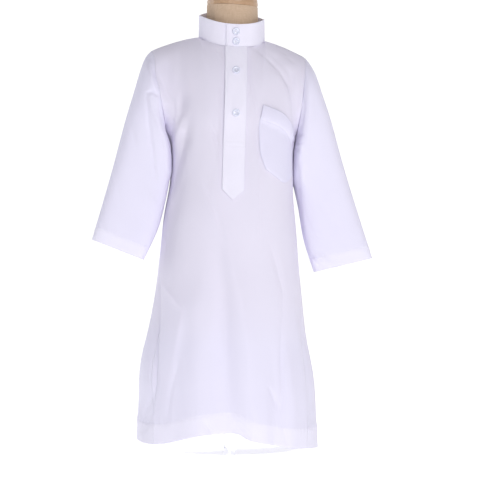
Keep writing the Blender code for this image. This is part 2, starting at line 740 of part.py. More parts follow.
def shoulder_reach(side, height):
    """How far out the form's shoulder line is at a height, just under the cloth's shoulder seam."""
    tip = armhole(side, 180)
    start = NECK_CENTRE + side * NECK_HALF_WIDTH
    drop = max(NECK_HEIGHT - SHOULDER_DROP - height, 0.0)
    return mix(start, tip.x, (drop / (NECK_HEIGHT - tip.z)) ** (1 / SHOULDER_BEND))


def form_section(section):
    """A row of the form's table; on the shoulders its width follows the cloth's shoulder line."""
    if not SHOULDER_ROWS[0] <= section.height <= SHOULDER_ROWS[1]:
        return section
    left, right = shoulder_reach(-1, section.height), shoulder_reach(1, section.height)
    return section._replace(centre=(left + right) / 2, half_width=(right - left) / 2)


def room(skins, middle, out):
    """How far the form may reach from its middle in one direction, to stay clear of the cloth round it."""
    nearest = 1000.0
    for skin, wall in skins:
        hit, normal, _, distance = skin.ray_cast(middle, out)
        if hit:
            nearest = min(nearest, distance - (wall + FORM_CLEARANCE) / max(abs(normal.dot(out)), 0.3))
    return nearest


def add_torso(part, skins):
    rows = [form_section(section) for section in FORM_SECTIONS]
    bm = bmesh.new()
    bmesh.ops.create_grid(bm, x_segments=FORM_STEPS, y_segments=len(rows) - 1, size=0.5)
    for vert in bm.verts:
        angle = math.tau * round((vert.co.x + 0.5) * FORM_STEPS) / FORM_STEPS
        section = rows[round((vert.co.y + 0.5) * (len(rows) - 1))]
        out = Vector((math.sin(angle), -math.cos(angle), 0))
        middle = Vector((section.centre, 0, section.height))
        reach = ring_reach(section, angle)
        if section.height > ARMPIT_HEIGHT and abs(out.y) > 0.01:
            reach = min(reach, room(skins, middle, out))
        vert.co = middle + out * reach
        if section is rows[0]:
            vert.co.z += LEAN * vert.co.x
    bmesh.ops.remove_doubles(bm, verts=list(bm.verts), dist=0.01)
    rims = [edge for edge in bm.edges if edge.is_boundary]
    bmesh.ops.holes_fill(bm, edges=rims, sides=0)
    mesh_object(part, "form_torso", bm, LINEN)


def add_stand(part):
    neck, bottom = FORM_SECTIONS[-1], FORM_SECTIONS[0]
    half = neck.half_width
    profile = [
        (0, CAP_HEIGHT), (half * 0.45, CAP_HEIGHT * 0.97), (half * 0.8, CAP_HEIGHT * 0.82),
        (half * 0.97, CAP_HEIGHT * 0.5), (half, CAP_HEIGHT * 0.2), (half * 0.98, 0), (0, 0),
    ]
    cap = turned_object(part, "form_neck_cap", profile, BEECH, 28)
    seat = settle(Vector((neck.centre, (neck.back - neck.front) / 2, neck.height + TOUCH)))
    cap.matrix_world = Matrix.Translation(seat) @ Matrix.Rotation(math.atan(LEAN), 4, "Y")

    pole_height = bottom.height - BASE_THICKNESS - 2 * TOUCH
    bpy.ops.mesh.primitive_cylinder_add(vertices=24, radius=POLE_RADIUS * MM, depth=pole_height * MM)
    pole = bpy.context.active_object
    pole.location = settle(Vector((0, 0, BASE_THICKNESS + TOUCH + pole_height / 2)))
    take_primitive(part, pole, "form_pole")

    bpy.ops.mesh.primitive_cylinder_add(vertices=48, radius=BASE_RADIUS * MM, depth=BASE_THICKNESS * MM)
    base = bpy.context.active_object
    base.location = settle(Vector((0, 0, BASE_THICKNESS / 2)))
    take_primitive(part, base, "form_base")
    edge = base.modifiers.new("edge", "BEVEL")
    edge.width = BASE_EDGE * MM
    edge.segments = 2
    edge.limit_method = "ANGLE"
    edge.angle_limit = math.radians(60)


def take_primitive(part, obj, name):
    """Names a primitive, gives it its finish and moves it to the part's collection."""
    obj.name = obj.data.name = name
    obj.data.materials.append(finish_material(name, CLEAR_ACRYLIC))
    obj.data.shade_smooth()
    obj.data.set_sharp_from_angle(angle=math.radians(40))
    for owner in list(obj.users_collection):
        owner.objects.unlink(obj)
    part.objects.link(obj)


def main():
    for obj in list(bpy.data.objects):
        bpy.data.objects.remove(obj)
    part = bpy.data.collections.new("thobe_on_dress_form")
    bpy.context.scene.collection.children.link(part)
    front, back = add_panels(part)
    add_gores(part)
    add_sleeves(part)
    collar = add_collar(part)
    placket = add_placket(part, front)
    add_pocket(part, front)
    for place in COLLAR_BUTTONS:
        add_button(part, place, collar)
    for place in PLACKET_BUTTONS:
        add_button(part, place, placket)
    add_torso(part, [(front, CLOTH_WALL), (back, CLOTH_WALL), (collar, COLLAR_WALL)])
    add_stand(part)


main()
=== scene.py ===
import json
import math

import bmesh
import bpy
import numpy as np
from mathutils import Matrix, Vector
from mathutils.bvhtree import BVHTree

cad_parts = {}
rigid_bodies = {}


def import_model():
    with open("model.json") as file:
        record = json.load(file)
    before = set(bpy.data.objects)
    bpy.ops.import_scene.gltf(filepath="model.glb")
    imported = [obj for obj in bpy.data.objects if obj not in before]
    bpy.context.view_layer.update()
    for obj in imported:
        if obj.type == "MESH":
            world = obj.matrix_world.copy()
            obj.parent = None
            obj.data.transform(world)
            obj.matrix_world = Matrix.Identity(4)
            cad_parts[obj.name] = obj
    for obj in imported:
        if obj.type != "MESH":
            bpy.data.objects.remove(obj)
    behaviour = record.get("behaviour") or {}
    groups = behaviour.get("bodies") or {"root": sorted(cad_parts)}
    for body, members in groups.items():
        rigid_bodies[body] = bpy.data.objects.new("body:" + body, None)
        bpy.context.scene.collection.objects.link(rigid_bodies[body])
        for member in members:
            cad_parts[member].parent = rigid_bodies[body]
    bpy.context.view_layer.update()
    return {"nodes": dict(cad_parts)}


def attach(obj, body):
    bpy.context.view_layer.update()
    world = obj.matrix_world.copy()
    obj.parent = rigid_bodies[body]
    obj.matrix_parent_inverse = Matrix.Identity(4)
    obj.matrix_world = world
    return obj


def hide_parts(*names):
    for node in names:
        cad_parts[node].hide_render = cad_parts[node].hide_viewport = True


for obj in list(bpy.data.objects):
    bpy.data.objects.remove(obj)
scene = bpy.context.scene
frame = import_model()
print("frame loaded")

# The cloth is shaped in the pattern's own millimetres: x to the wearer's left, z up from the floor with the
# garment hanging level. The part stands with a slight lean, which toRoom puts back.
lean = 0.05
middle = np.array([4.2, -0.6, 0.0])

# The camera stands level, a little above the robe's middle, and is turned a few degrees to the robe's left.
# It sees the body's middle 3.2 m away, and axis and level are what it sees in its picture's middle there.
view = {
    "yaw": 5.0, "at": (-0.26676, -3.18805, 0.338), "lens": 150.0, "sensor": 36.0, "away": 3200.0,
    "axis": 18.2, "level": 337.7,
}


def toPattern(points):
    points = np.array(points, float) * 1000 + middle
    points[..., 2] += lean * points[..., 0]
    return points


def toRoom(points):
    points = np.array(points, float)
    points[..., 2] -= lean * points[..., 0]
    return (points - middle) / 1000


def seenFlat(points):
    # where the camera sees points, in millimetres across and up an upright plane through the body's middle
    ahead = toRoom(points) - np.array(view["at"])
    turn = math.radians(view["yaw"])
    right = ahead[..., 0] * math.cos(turn) - ahead[..., 1] * math.sin(turn)
    depth = ahead[..., 0] * math.sin(turn) + ahead[..., 1] * math.cos(turn)
    across = view["axis"] + view["away"] * right / depth
    up = view["level"] + view["away"] * ahead[..., 2] / depth
    return np.stack([across, up + lean * across], axis=-1)


def ease(low, high, value):
    share = np.clip((value - low) / (high - low), 0, 1)
    return share * share * (3 - 2 * share)


def bell(distance, width):
    return np.exp(-((distance / width) ** 2))


class Wire:
    # a socket that adds Math nodes when it is used in an expression
    def __init__(self, paint, socket):
        self.paint, self.socket = paint, socket

    def maths(self, operation, second):
        return self.paint.node("Math", {"operation": operation}, {0: self, 1: second})

    def __add__(self, other):
        return self.maths("ADD", other)

    def __sub__(self, other):
        return self.maths("SUBTRACT", other)

    def __mul__(self, other):
        return self.maths("MULTIPLY", other)

    def sine(self):
        return self.maths("SINE", 0.0)

    def output(self, number):
        # another output of the same node
        return Wire(self.paint, self.socket.node.outputs[number])


class Paint:
    # a material and its nodes
    def __init__(self, name, **shader):
        self.material = bpy.data.materials.new(name)
        self.material.use_nodes = True
        self.tree = self.material.node_tree
        self.shader = self.tree.nodes["Principled BSDF"]
        self.set(**shader)

    def node(self, kind, settings=None, links=None, out=0):
        made = self.tree.nodes.new("ShaderNode" + kind)
        for key, value in (settings or {}).items():
            if key == "stops":
                ramp = made.color_ramp.elements
                while len(ramp) < len(value):
                    ramp.new(0.5)
                for element, (place, colour) in zip(ramp, value):
                    element.position, element.color = place, (*colour, 1)
            else:
                setattr(made, key, value)
        for key, value in (links or {}).items():
            if isinstance(value, Wire):
                self.tree.links.new(value.socket, made.inputs[key])
            else:
                made.inputs[key].default_value = value
        return Wire(self, made.outputs[out])

    def set(self, **sockets):
        for key, value in sockets.items():
            socket = self.shader.inputs[key.replace("_", " ")]
            if isinstance(value, Wire):
                self.tree.links.new(value.socket, socket)
            else:
                socket.default_value = value

    def mix(self, factor, first, second):
        return self.node("Mix", {"data_type": "RGBA"}, {"Factor": factor, 6: first, 7: second}, out=2)

    def bump(self, height, distance, strength):
        self.set(Normal=self.node("Bump", {}, {"Height": height, "Distance": distance, "Strength": strength}))

    def objectPlace(self):
        return self.node("TexCoord", {}, out=3)

    def stretched(self, where, scale):
        return self.node("Mapping", {}, {"Vector": where, "Scale": scale})

    def noise(self, where, scale, detail, distortion=0.0, dimensions="3D"):
        links = {"Vector": where, "Scale": scale, "Detail": detail, "Distortion": distortion}
        return self.node("TexNoise", {"noise_dimensions": dimensions}, links)

    def woven(self, pitch):
        # the cloth's own UV map and threads that follow it
        uv = self.node("UVMap", {"uv_map": "cloth"})
        across = self.node("SeparateXYZ", {}, {"Vector": uv})
        turns = math.tau / pitch
        return uv, (across * turns).sine() * (across.output(1) * turns).sine()


def shade(red, green, blue):
    # a colour as seen, 0 to 255, as linear light
    values = [value / 255 for value in (red, green, blue)]
    linear = [v / 12.92 if v <= 0.04045 else ((v + 0.055) / 1.055) ** 2.4 for v in values]
    return (*linear, 1.0)


# How a solid's skin is read: faces that meet at less than this angle belong to one skin, points this close
# are one, points this close in height (metres) are level, and a closed ring overlaps itself by some rows.
reading = {"angle": math.radians(50), "weld": 1e-6, "level": 2e-4, "overlap": 4}


def skinFaces(bm, tube):
    # the largest smooth region of a solid whose faces look away from the body's axis, or a tube's own
    left, regions = set(bm.faces), []
    while left:
        seed = left.pop()
        region, queue = {seed}, [seed]
        while queue:
            for edge in queue.pop().edges:
                if edge.calc_face_angle(3) < reading["angle"]:
                    for face in edge.link_faces:
                        if face in left:
                            left.discard(face)
                            region.add(face)
                            queue.append(face)
        regions.append(region)
    regions = sorted(regions, key=len)[-2:]

    def facing(region):
        centre = sum((face.calc_center_median() for face in region), Vector()) / len(region)
        inside = centre if tube else Vector((0, 0, centre.z))
        total = 0.0
        for face in region:
            away = face.calc_center_median() - inside
            away.z *= tube
            total += away.dot(face.normal) * face.calc_area()
        return total

    return max(regions, key=facing)


def stepsAlong(start, goal, nextTo):
    # the shortest way between two points
    cameFrom, queue = {start: None}, [start]
    for point in queue:
        for other in nextTo[point]:
            if other not in cameFrom:
                cameFrom[other] = point
                queue.append(other)
    way = [goal]
    while cameFrom[way[-1]]:
        way.append(cameFrom[way[-1]])
    return way[::-1]


def readRows(name, corners=None, tube=False, whole=False):
    # The points of a solid's outer skin in rows. corners are the directions that the first and last point
    # of the first row lie furthest in. A tube's first row is its rim that lies furthest in the first one.
    bm = bmesh.new()
    bm.from_mesh(frame["nodes"][name].data)
    bmesh.ops.remove_doubles(bm, verts=bm.verts, dist=reading["weld"])
    faces = set(bm.faces) if whole else skinFaces(bm, tube)
    nextTo, rim = {}, {}
    for edge in {edge for face in faces for edge in face.edges}:
        a, b = edge.verts
        tables = [nextTo]
        if sum(face in faces for face in edge.link_faces) == 1:
            tables.append(rim)
        for table in tables:
            table.setdefault(a, set()).add(b)
            table.setdefault(b, set()).add(a)

    if whole:
        # the flat end of a closed form
        heights = {vert: vert.co.z + lean * vert.co.x for vert in nextTo}
        level = max(heights.values())
        first = {vert for vert in nextTo if abs(heights[vert] - level) < reading["level"]}
        row = ringOrder(first, nextTo, min(first, key=lambda vert: vert.co.y), None)
    elif tube:
        start = max(rim, key=lambda vert: vert.co.dot(Vector(corners[0])))
        first, queue = {start}, [start]
        for point in queue:
            for other in rim[point] - first:
                first.add(other)
                queue.append(other)
        start = max(first, key=lambda vert: vert.co.dot(Vector(corners[1])))
        row = ringOrder(first, nextTo, start, None)
    else:
        ends = [max(rim, key=lambda vert: vert.co.dot(Vector(corner))) for corner in corners]
        row = stepsAlong(ends[0], ends[1], rim)
    rows, seen = [row], set(row)
    while True:
        ahead = {other for vert in row for other in nextTo[vert]} - seen
        if not ahead:
            break
        if tube or whole:
            start = min(nextTo[row[0]] & ahead, key=lambda vert: (vert.co - row[0].co).length)
            row = ringOrder(ahead, nextTo, start, row)
        else:
            row = lineOrder(ahead, nextTo, next(iter(rim[row[0]] & ahead)))
        rows.append(row)
        seen |= set(row)
    points = np.array([[tuple(vert.co) for vert in row] for row in rows])
    bm.free()
    return toPattern(points)


def lineOrder(points, nextTo, start):
    row = [start]
    while len(row) < len(points):
        row.append(next(iter((nextTo[row[-1]] & points) - set(row))))
    return row


def ringOrder(points, nextTo, start, before):
    # round a ring, the same way round as the ring before it
    options = list(nextTo[start] & points)
    if before is None:
        second = max(options, key=lambda vert: (round(vert.co.y, 5), vert.co.x))
    else:
        second = min(options, key=lambda vert: (vert.co - before[1].co).length)
    row = [start, second]
    while len(row) < len(points):
        near = (nextTo[row[-1]] & points) - set(row)
        row.append(min(near, key=lambda vert: (vert.co - row[-1].co).length))
    return row


def distances(points, axis=0):
    # how far along the cloth each point is from the first
    steps = np.linalg.norm(np.diff(points, axis=axis), axis=-1)
    first = np.zeros_like(np.take(steps, [0], axis=axis))
    return np.concatenate([first, np.cumsum(steps, axis=axis)], axis=axis)


def spline(places, values, wanted):
    # a natural cubic curve through rows of values
    steps = np.diff(places)
    slopes = np.diff(values, axis=0) / steps[:, None]
    count = len(places)
    bends = np.zeros((count, values.shape[1]))
    if count > 2:
        system = np.diag(2 * (steps[:-1] + steps[1:])) + np.diag(steps[1:-1], 1) + np.diag(steps[1:-1], -1)
        bends[1:-1] = np.linalg.solve(system, 6 * np.diff(slopes, axis=0))
    low = np.clip(np.searchsorted(places, wanted, side="right") - 1, 0, count - 2)
    width = steps[low][:, None]
    after = (wanted - places[low])[:, None] / width
    ahead = 1 - after
    curve = ((ahead**3 - ahead) * bends[low] + (after**3 - after) * bends[low + 1]) * width**2 / 6
    return ahead * values[low] + after * values[low + 1] + curve


def resample(points, count, along, closed=False, straight=False):
    # finer rows or columns through the points of a grid
    points = np.moveaxis(points, along, 0)
    lap = reading["overlap"]
    if closed:
        points = np.concatenate([points[-lap:], points, points[: lap + 1]])
    places = distances(points).mean(axis=1)
    low, high = (places[lap], places[-lap - 1]) if closed else (places[0], places[-1])
    wanted = np.linspace(low, high, count + 1)[: count if closed else count + 1]
    flat = points.reshape(len(points), -1)
    if straight:
        fine = np.stack([np.interp(wanted, places, column) for column in flat.T], axis=1)
    else:
        fine = spline(places, flat, wanted)
    return np.moveaxis(fine.reshape(len(wanted), *points.shape[1:]), 0, along)


def regrid(rows, counts, **options):
    return resample(resample(rows, counts[0], along=0), counts[1], along=1, **options)


class Skin:
    # A fine grid of points in pattern millimetres, rows upwards and columns to the right seen from outside,
    # with the distance across and up the cloth at each point.
    def __init__(self, points, closed=False):
        self.points, self.closed, self.plain = points, closed, points.copy()
        self.across, self.up = distances(points, 1), distances(points)
        self.across -= self.across[:, -1:] / 2
        self.settle()

    def fromSides(self):
        return self.across[:, -1:] - np.abs(self.across)

    def fromTop(self):
        return self.up[-1:] - self.up

    def settle(self):
        # the directions out of the cloth, from its points as they are now
        points = self.points
        if self.closed:
            wrapped = np.concatenate([points[:, -1:], points, points[:, :1]], axis=1)
            along = np.gradient(wrapped, axis=1)[:, 1:-1]
        else:
            along = np.gradient(points, axis=1)
        normals = np.cross(along, np.gradient(points, axis=0))
        self.normals = normals / np.maximum(np.linalg.norm(normals, axis=2, keepdims=True), 1e-9)

    def push(self, distance):
        self.points = self.points + self.normals * np.asarray(distance)[..., None]


def outward(points):
    # turns a closed grid's columns round where its faces look inwards
    away = points - points.reshape(-1, 3).mean(axis=0)
    return points if (away * Skin(points, closed=True).normals).sum() > 0 else points[:, ::-1]


def asMesh(name, bm):
    mesh = bpy.data.meshes.new(name)
    bm.to_mesh(mesh)
    bm.free()
    mesh.shade_smooth()
    return mesh


def addObject(name, data):
    obj = bpy.data.objects.new(name, data)
    scene.collection.objects.link(obj)
    return obj


def buildMesh(name, skin, attributes=None):
    # a mesh from a skin: Blender's own grid, moved point by point, with the cloth's distances as its UV map
    rows, columns = skin.points.shape[:2]
    points = toRoom(skin.points)
    across, up = skin.across / 1000, skin.up / 1000
    attributes = attributes or {}
    if skin.closed:
        points, up = (np.concatenate([grid, grid[:, :1]], axis=1) for grid in (points, up))
        across = np.concatenate([across, 2 * across[:, -1:] - across[:, -2:-1]], axis=1)
        attributes = {key: np.concatenate([grid, grid[:, :1]], axis=1) for key, grid in attributes.items()}
        columns += 1
    bm = bmesh.new()
    bmesh.ops.create_grid(bm, x_segments=columns - 1, y_segments=rows - 1, size=0.5)
    uvLayer = bm.loops.layers.uv.new("cloth")
    layers = {key: bm.verts.layers.float.new(key) for key in attributes}
    uvs = {}
    for vert in bm.verts:
        column = round((vert.co.x + 0.5) * (columns - 1))
        row = round((vert.co.y + 0.5) * (rows - 1))
        vert.co = points[row, column]
        uvs[vert] = (across[row, column], up[row, column])
        for key, layer in layers.items():
            vert[layer] = attributes[key][row, column]
    for face in bm.faces:
        for loop in face.loops:
            loop[uvLayer].uv = uvs[loop.vert]
    if skin.closed:
        bmesh.ops.remove_doubles(bm, verts=bm.verts, dist=reading["weld"])
    return asMesh(name, bm)


def addPiece(name, mesh, paint, replaced=()):
    obj = addObject(name, mesh)
    mesh.materials.append(paint.material)
    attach(obj, "root")
    if replaced:
        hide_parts(*replaced)
    return obj


def giveWall(obj, thickness):
    # a wall inwards from the skin; the attribute says where a turned-up band makes it thicker
    wall = obj.modifiers.new("wall", "SOLIDIFY")
    wall.thickness = thickness / 1000
    wall.offset = -1
    wall.use_quality_normals = True
    if "wall" in obj.data.attributes:
        group = obj.vertex_groups.new(name="wall")
        for index, share in enumerate(obj.data.attributes["wall"].data):
            group.add([index], share.value, "REPLACE")
        wall.vertex_group = "wall"


# Each crease: its height in millimetres (below 0 a valley), how wide it spreads to its left and to its right,
# then across and up of each point on its way. In front these are millimetres where the camera sees them,
# behind they are the pattern's x and z.
frontCreases = [
    # chest and shoulders
    (-7.5, 9, 14, -121, 632, -108, 605, -96, 582, -83, 556, -78, 540),
    (2.3, 10, 10, -72, 566, -68, 546, -70, 512, -72, 488),
    (-1.8, 3.5, 5, -86, 541, -92, 493, -92, 448),
    (1.4, 4, 5, -71, 533, -84, 490, -89, 461),
    (-3.6, 5, 9, -60, 528, -70, 488, -80, 452, -89, 410),
    (-3.0, 9, 12, -68, 432, -90, 366, -101, 297),
    (-1.4, 3, 4, -22, 645, -14, 638, -9, 625),
    (-1.6, 4, 4, -28, 522, -20, 506, -12, 484),
    (-0.9, 7, 3, -15, 577, -15, 513, -20, 457),
    (-1.9, 4, 5, 32, 642, 35, 596, 42, 562),
    (-1.8, 5, 3, 44, 558, 45, 513, 49, 478, 61, 450),
    (-1.9, 2.2, 4.5, 34, 654, 48, 645, 66, 630, 85, 611, 98, 589, 103, 567, 105, 535),
    (1.0, 5, 3.5, 53, 644, 74, 628, 93, 608, 106, 583),
    (-1.0, 3, 3, 82, 646, 98, 640),
    (-0.8, 3, 3, 92, 637, 108, 628),
    (-1.5, 2.5, 2.5, 98, 514, 108, 509, 121, 513),
    (-1.3, 2.0, 2.5, 100, 501, 111, 498, 121, 501),
    (-1.1, 2.5, 2.5, 103, 487, 113, 487, 119, 480),
    # the wearer's right sleeve
    (-2.4, 2.2, 3, -131, 568, -123, 570, -113, 564),
    (3.0, 4, 7, -126, 612, -121, 594, -118, 577),
    (2.0, 3.2, 4, -126, 560, -119, 537, -111, 518, -105, 505),
    (-2.0, 3, 3, -130, 562, -127, 520, -121, 476, -115, 425),
    (-2.2, 2.5, 2.2, -110, 547, -105, 524, -103, 507),
    (1.5, 13, 4, -109, 516, -102, 476, -97, 437, -103, 396, -115, 356),
    (-1.2, 6, 6, -156, 525, -150, 500, -145, 474),
    (1.3, 3.5, 4, -126, 411, -119, 396, -113, 383),
    (-0.8, 6, 5, -177, 425, -172, 393, -171, 358),
    (-0.9, 5, 4, -142, 371, -131, 360, -123, 344),
    # the wearer's left sleeve
    (-2.6, 2.6, 3.6, 121, 625, 122, 590, 121, 552, 116, 513),
    (1.4, 4, 7, 129, 613, 132, 552, 127, 488, 124, 456),
    (-1.0, 5, 5, 140, 585, 141, 559, 140, 530),
    (-1.8, 4, 5, 116, 468, 114, 433, 116, 395),
    (-1.0, 7, 6, 149, 416, 162, 387, 180, 366),
    (-1.2, 5, 6, 124, 385, 135, 360, 153, 345),
    (2.6, 2.2, 6, 129, 328, 149, 318, 175, 305),
    (-2.0, 4, 4, 125, 322, 141, 310, 156, 299),
    # skirt and hem
    (5.0, 19, 14, -24, 414, -8, 369, 5, 322, 14, 281, 25, 243, 32, 202, 36, 148, 38, 84, 46, 44),
    (-1.7, 5, 6, -37, 432, -28, 410, -17, 388, -9, 360, -3, 332),
    (1.1, 3, 3, 49, 440, 50, 388, 52, 330),
    (-1.8, 4, 5, 68, 335, 80, 297, 89, 259, 89, 198),
    (-2.6, 3.5, 4, 86, 216, 86, 182, 86, 140, 88, 92, 87, 44),
    (-1.8, 3, 3.5, 65, 107, 74, 90, 81, 70),
    (1.8, 6, 6, 98, 167, 103, 119, 106, 68),
    (-2.6, 4, 4, 111, 262, 122, 176, 131, 107, 135, 56),
    (2.2, 4, 5, -105, 262, -91, 247, -71, 224),
    (1.4, 6, 6, -71, 224, -76, 190, -81, 154),
    (4.0, 13, 13, -71, 236, -76, 200, -82, 150, -83, 100, -86, 40, -89, -40),
    (-1.8, 6, 5, -78, 136, -89, 93, -96, 40),
    (-5.6, 6, 15, -106, 318, -110, 270, -113, 215, -116, 164, -117, 101, -122, 62, -131, 28),
    (-3.0, 2.2, 2.6, -107, 318, -111, 270, -114, 215, -117, 164, -118, 101, -123, 62, -132, 28),
    (-2.0, 2.5, 3, -124, 85, -132, 62, -137, 43),
    (-1.8, 4, 4, 88, 48, 91, 32, 93, 14),
    (-1.7, 4, 4, -38, 46, -30, 35, -25, 26),
    (-3.0, 9, 5, 9, 46, 24, 32, 36, 19),
]
backCreases = [
    # shoulders
    (-1.8, 3, 6, -40, 628, -64, 605, -86, 570, -92, 530),
    (-2.2, 5, 3, 34, 630, 60, 604, 80, 566, 90, 520),
    (-2.4, 4, 6, -60, 540, -74, 500, -88, 468),
    (-1.8, 6, 4, 52, 556, 70, 520, 84, 470),
    (-2.2, 2.5, 2.5, -118, 512, -106, 508, -96, 514),
    (-1.6, 2.2, 3, -120, 497, -108, 496, -99, 488),
    (-2.2, 2.5, 3, 100, 516, 110, 508, 120, 511),
    # waist and skirt
    (-1.6, 6, 8, -58, 452, -20, 437, 16, 440),
    (-1.6, 5, 8, 88, 424, 60, 396, 40, 352),
    (-2.0, 7, 5, -84, 404, -66, 360, -60, 300),
    (-2.0, 9, 6, 10, 404, 2, 330, -8, 240, -10, 160),
    (1.8, 8, 5, -24, 300, -34, 210, -38, 120, -36, 50),
    (-2.6, 4, 7, -64, 296, -76, 210, -86, 120, -90, 46),
    (-2.6, 6, 4, 58, 330, 70, 240, 76, 150, 84, 52),
    (-1.8, 3, 4, 98, 190, 108, 128, 112, 60),
    (-1.8, 3, 3, -112, 150, -120, 96, -122, 44),
    (-1.6, 4, 5, 18, 160, 24, 100, 22, 48),
    # sleeves
    (-1.8, 4, 4, -132, 600, -134, 545, -126, 490),
    (-1.8, 4, 6, -120, 440, -140, 416, -165, 408),
    (-1.2, 3, 5, -118, 410, -138, 386, -160, 380),
    (-1.0, 6, 5, -180, 390, -176, 350, -178, 325),
    (-2.0, 3, 5, 128, 596, 132, 540, 126, 478),
    (-2.0, 6, 3, 122, 452, 146, 420, 172, 410),
    (-1.2, 5, 3, 120, 420, 142, 392, 160, 388),
    (-1.2, 5, 6, 176, 400, 184, 362, 190, 334),
]

# "lit" is the way that the light comes from in the picture, "aside" how far a crease moves towards it,
# "tip" and "run" are how its ends taper, and it fades in and out of each view between two slants of the cloth
creasing = {
    "lit": np.array([0.8, 0.6]), "aside": 0.5, "tip": 0.08, "run": 0.84, "taper": 0.8, "fall": 1.7,
    "frontFade": (0.02, 0.3), "backFade": (0.05, 0.45),
}
neckSoft = {
    "columns": 24, "spread": 10.0, "low": 520.0, "full": 565.0, "fade": 18.0, "near": 13.0, "centre": 3.0,
    "halfWidth": 53.5,
}


def creaseHeights(place, creases):
    # how high the creases of one view lift each point
    total = np.zeros(place.shape[:-1])
    for height, leftSpread, rightSpread, *way in creases:
        way = np.array(way, float).reshape(-1, 2)
        # the points are where a fold looks darkest or brightest, which is beside its bottom or crest
        run = way[-1] - way[0]
        square = np.array([run[1], -run[0]]) / np.linalg.norm(run)
        way -= square * (square @ creasing["lit"]) * creasing["aside"] * rightSpread
        lengths = np.linalg.norm(np.diff(way, axis=0), axis=1)
        nearest = np.full(total.shape, 1e9)
        side, along, done = np.zeros(total.shape), np.zeros(total.shape), 0.0
        for start, end, length in zip(way[:-1], way[1:], lengths):
            step = (end - start) / length
            out = place - start
            share = np.clip(out @ step, 0, length)
            gap = out - share[..., None] * step
            distance = np.linalg.norm(gap, axis=-1)
            closer = distance < nearest
            nearest = np.where(closer, distance, nearest)
            side = np.where(closer, gap[..., 0], side)
            along = np.where(closer, done + share, along)
            done += length
        taper = np.sin(np.pi * (creasing["tip"] + creasing["run"] * along / done)) ** creasing["taper"]
        spread = np.where(side < 0, leftSpread, rightSpread)
        total += height * taper * np.exp(-((nearest / spread) ** creasing["fall"]))
    return total


def crease(skin):
    # each view's creases fade where the cloth turns away from it
    facing = skin.normals[..., 1]
    front = creaseHeights(seenFlat(skin.points), frontCreases) * ease(*creasing["frontFade"], -facing)
    back = creaseHeights(skin.points[..., [0, 2]], backCreases) * ease(*creasing["backFade"], facing)
    skin.push(front + back)
    skin.settle()


def softenBelowNeck(points):
    # a solid's panel has a ridge below each corner of the neckline, which cloth would smooth away
    up = distances(points)
    steps = np.arange(-neckSoft["columns"], neckSoft["columns"] + 1)
    weights = bell(steps, neckSoft["spread"])
    weights /= weights.sum()
    padded = np.pad(points[..., 1], ((0, 0), (len(steps) // 2, len(steps) // 2)), mode="edge")
    smooth = sum(weight * padded[:, k : k + points.shape[1]] for k, weight in enumerate(weights))
    share = ease(neckSoft["low"], neckSoft["full"], points[..., 2]) * ease(0, neckSoft["fade"], up[-1:] - up)
    # only beside the two corners
    across, half = points[-1, :, 0] - neckSoft["centre"], neckSoft["halfWidth"]
    corners = [np.abs(across - corner).argmin() for corner in (-half, half)]
    share *= sum(bell(np.arange(len(across)) - corner, neckSoft["near"]) for corner in corners)
    points = points.copy()
    points[..., 1] += (smooth - points[..., 1]) * share
    return points


# an edge nearer to its seam than "near" is sewn onto it, and one beyond "far" is left where it is
seam = {"depth": 0.5, "width": 1.6, "far": 4.0, "near": 2.0}
turned = {
    "groove": 0.38, "grooveWidth": 1.3, "swell": 0.22, "swellOver": 3.0, "puckerReach": 6.5, "edge": 0.5,
    "soft": 0.6, "fine": 0.93, "sway": 1.7, "swayTurns": 0.11, "coarse": 0.31, "coarseStart": 0.6,
}
clothThickness = 0.45
bandThickness = 1.0
skins, attributes = {}, {}


def seamGrooves(skin, sides=True, top=False):
    groove = bell(skin.fromSides(), seam["width"]) * sides
    if top:
        groove = np.maximum(groove, bell(skin.fromTop(), seam["width"]))
    skin.push(-seam["depth"] * groove)


def turnUp(name, skin, height, pucker, onForm):
    # the turned-up band: its stitched groove, the puckers above and below it and where the cloth is double
    sway = turned["sway"] * np.sin(skin.across * turned["swayTurns"])
    wave = np.sin(skin.across * turned["fine"] + sway)
    wave = wave * np.sin(skin.across * turned["coarse"] + turned["coarseStart"])
    stitched = bell(skin.up - height, turned["grooveWidth"])
    swell = turned["swell"] * ease(height, height - turned["swellOver"], skin.up)
    skin.push(-turned["groove"] * stitched + swell)
    skin.push(pucker * wave * bell(skin.up - height, turned["puckerReach"]))
    skin.settle()
    skins[name] = skin
    attributes[name] = {
        "wall": np.where(skin.up < height + turned["edge"], 1.0, clothThickness / bandThickness),
        "layers": ease(height + turned["soft"], height - turned["soft"], skin.up),
        # how near the form lies behind, for the form's beige and the painted shade in the cloth's paint
        "form": formBehind(skin) if onForm else 0 * skin.up,
    }


def edgeOf(grid, edge):
    return {"left": grid[:, 0], "right": grid[:, -1], "top": grid[-1]}[edge]


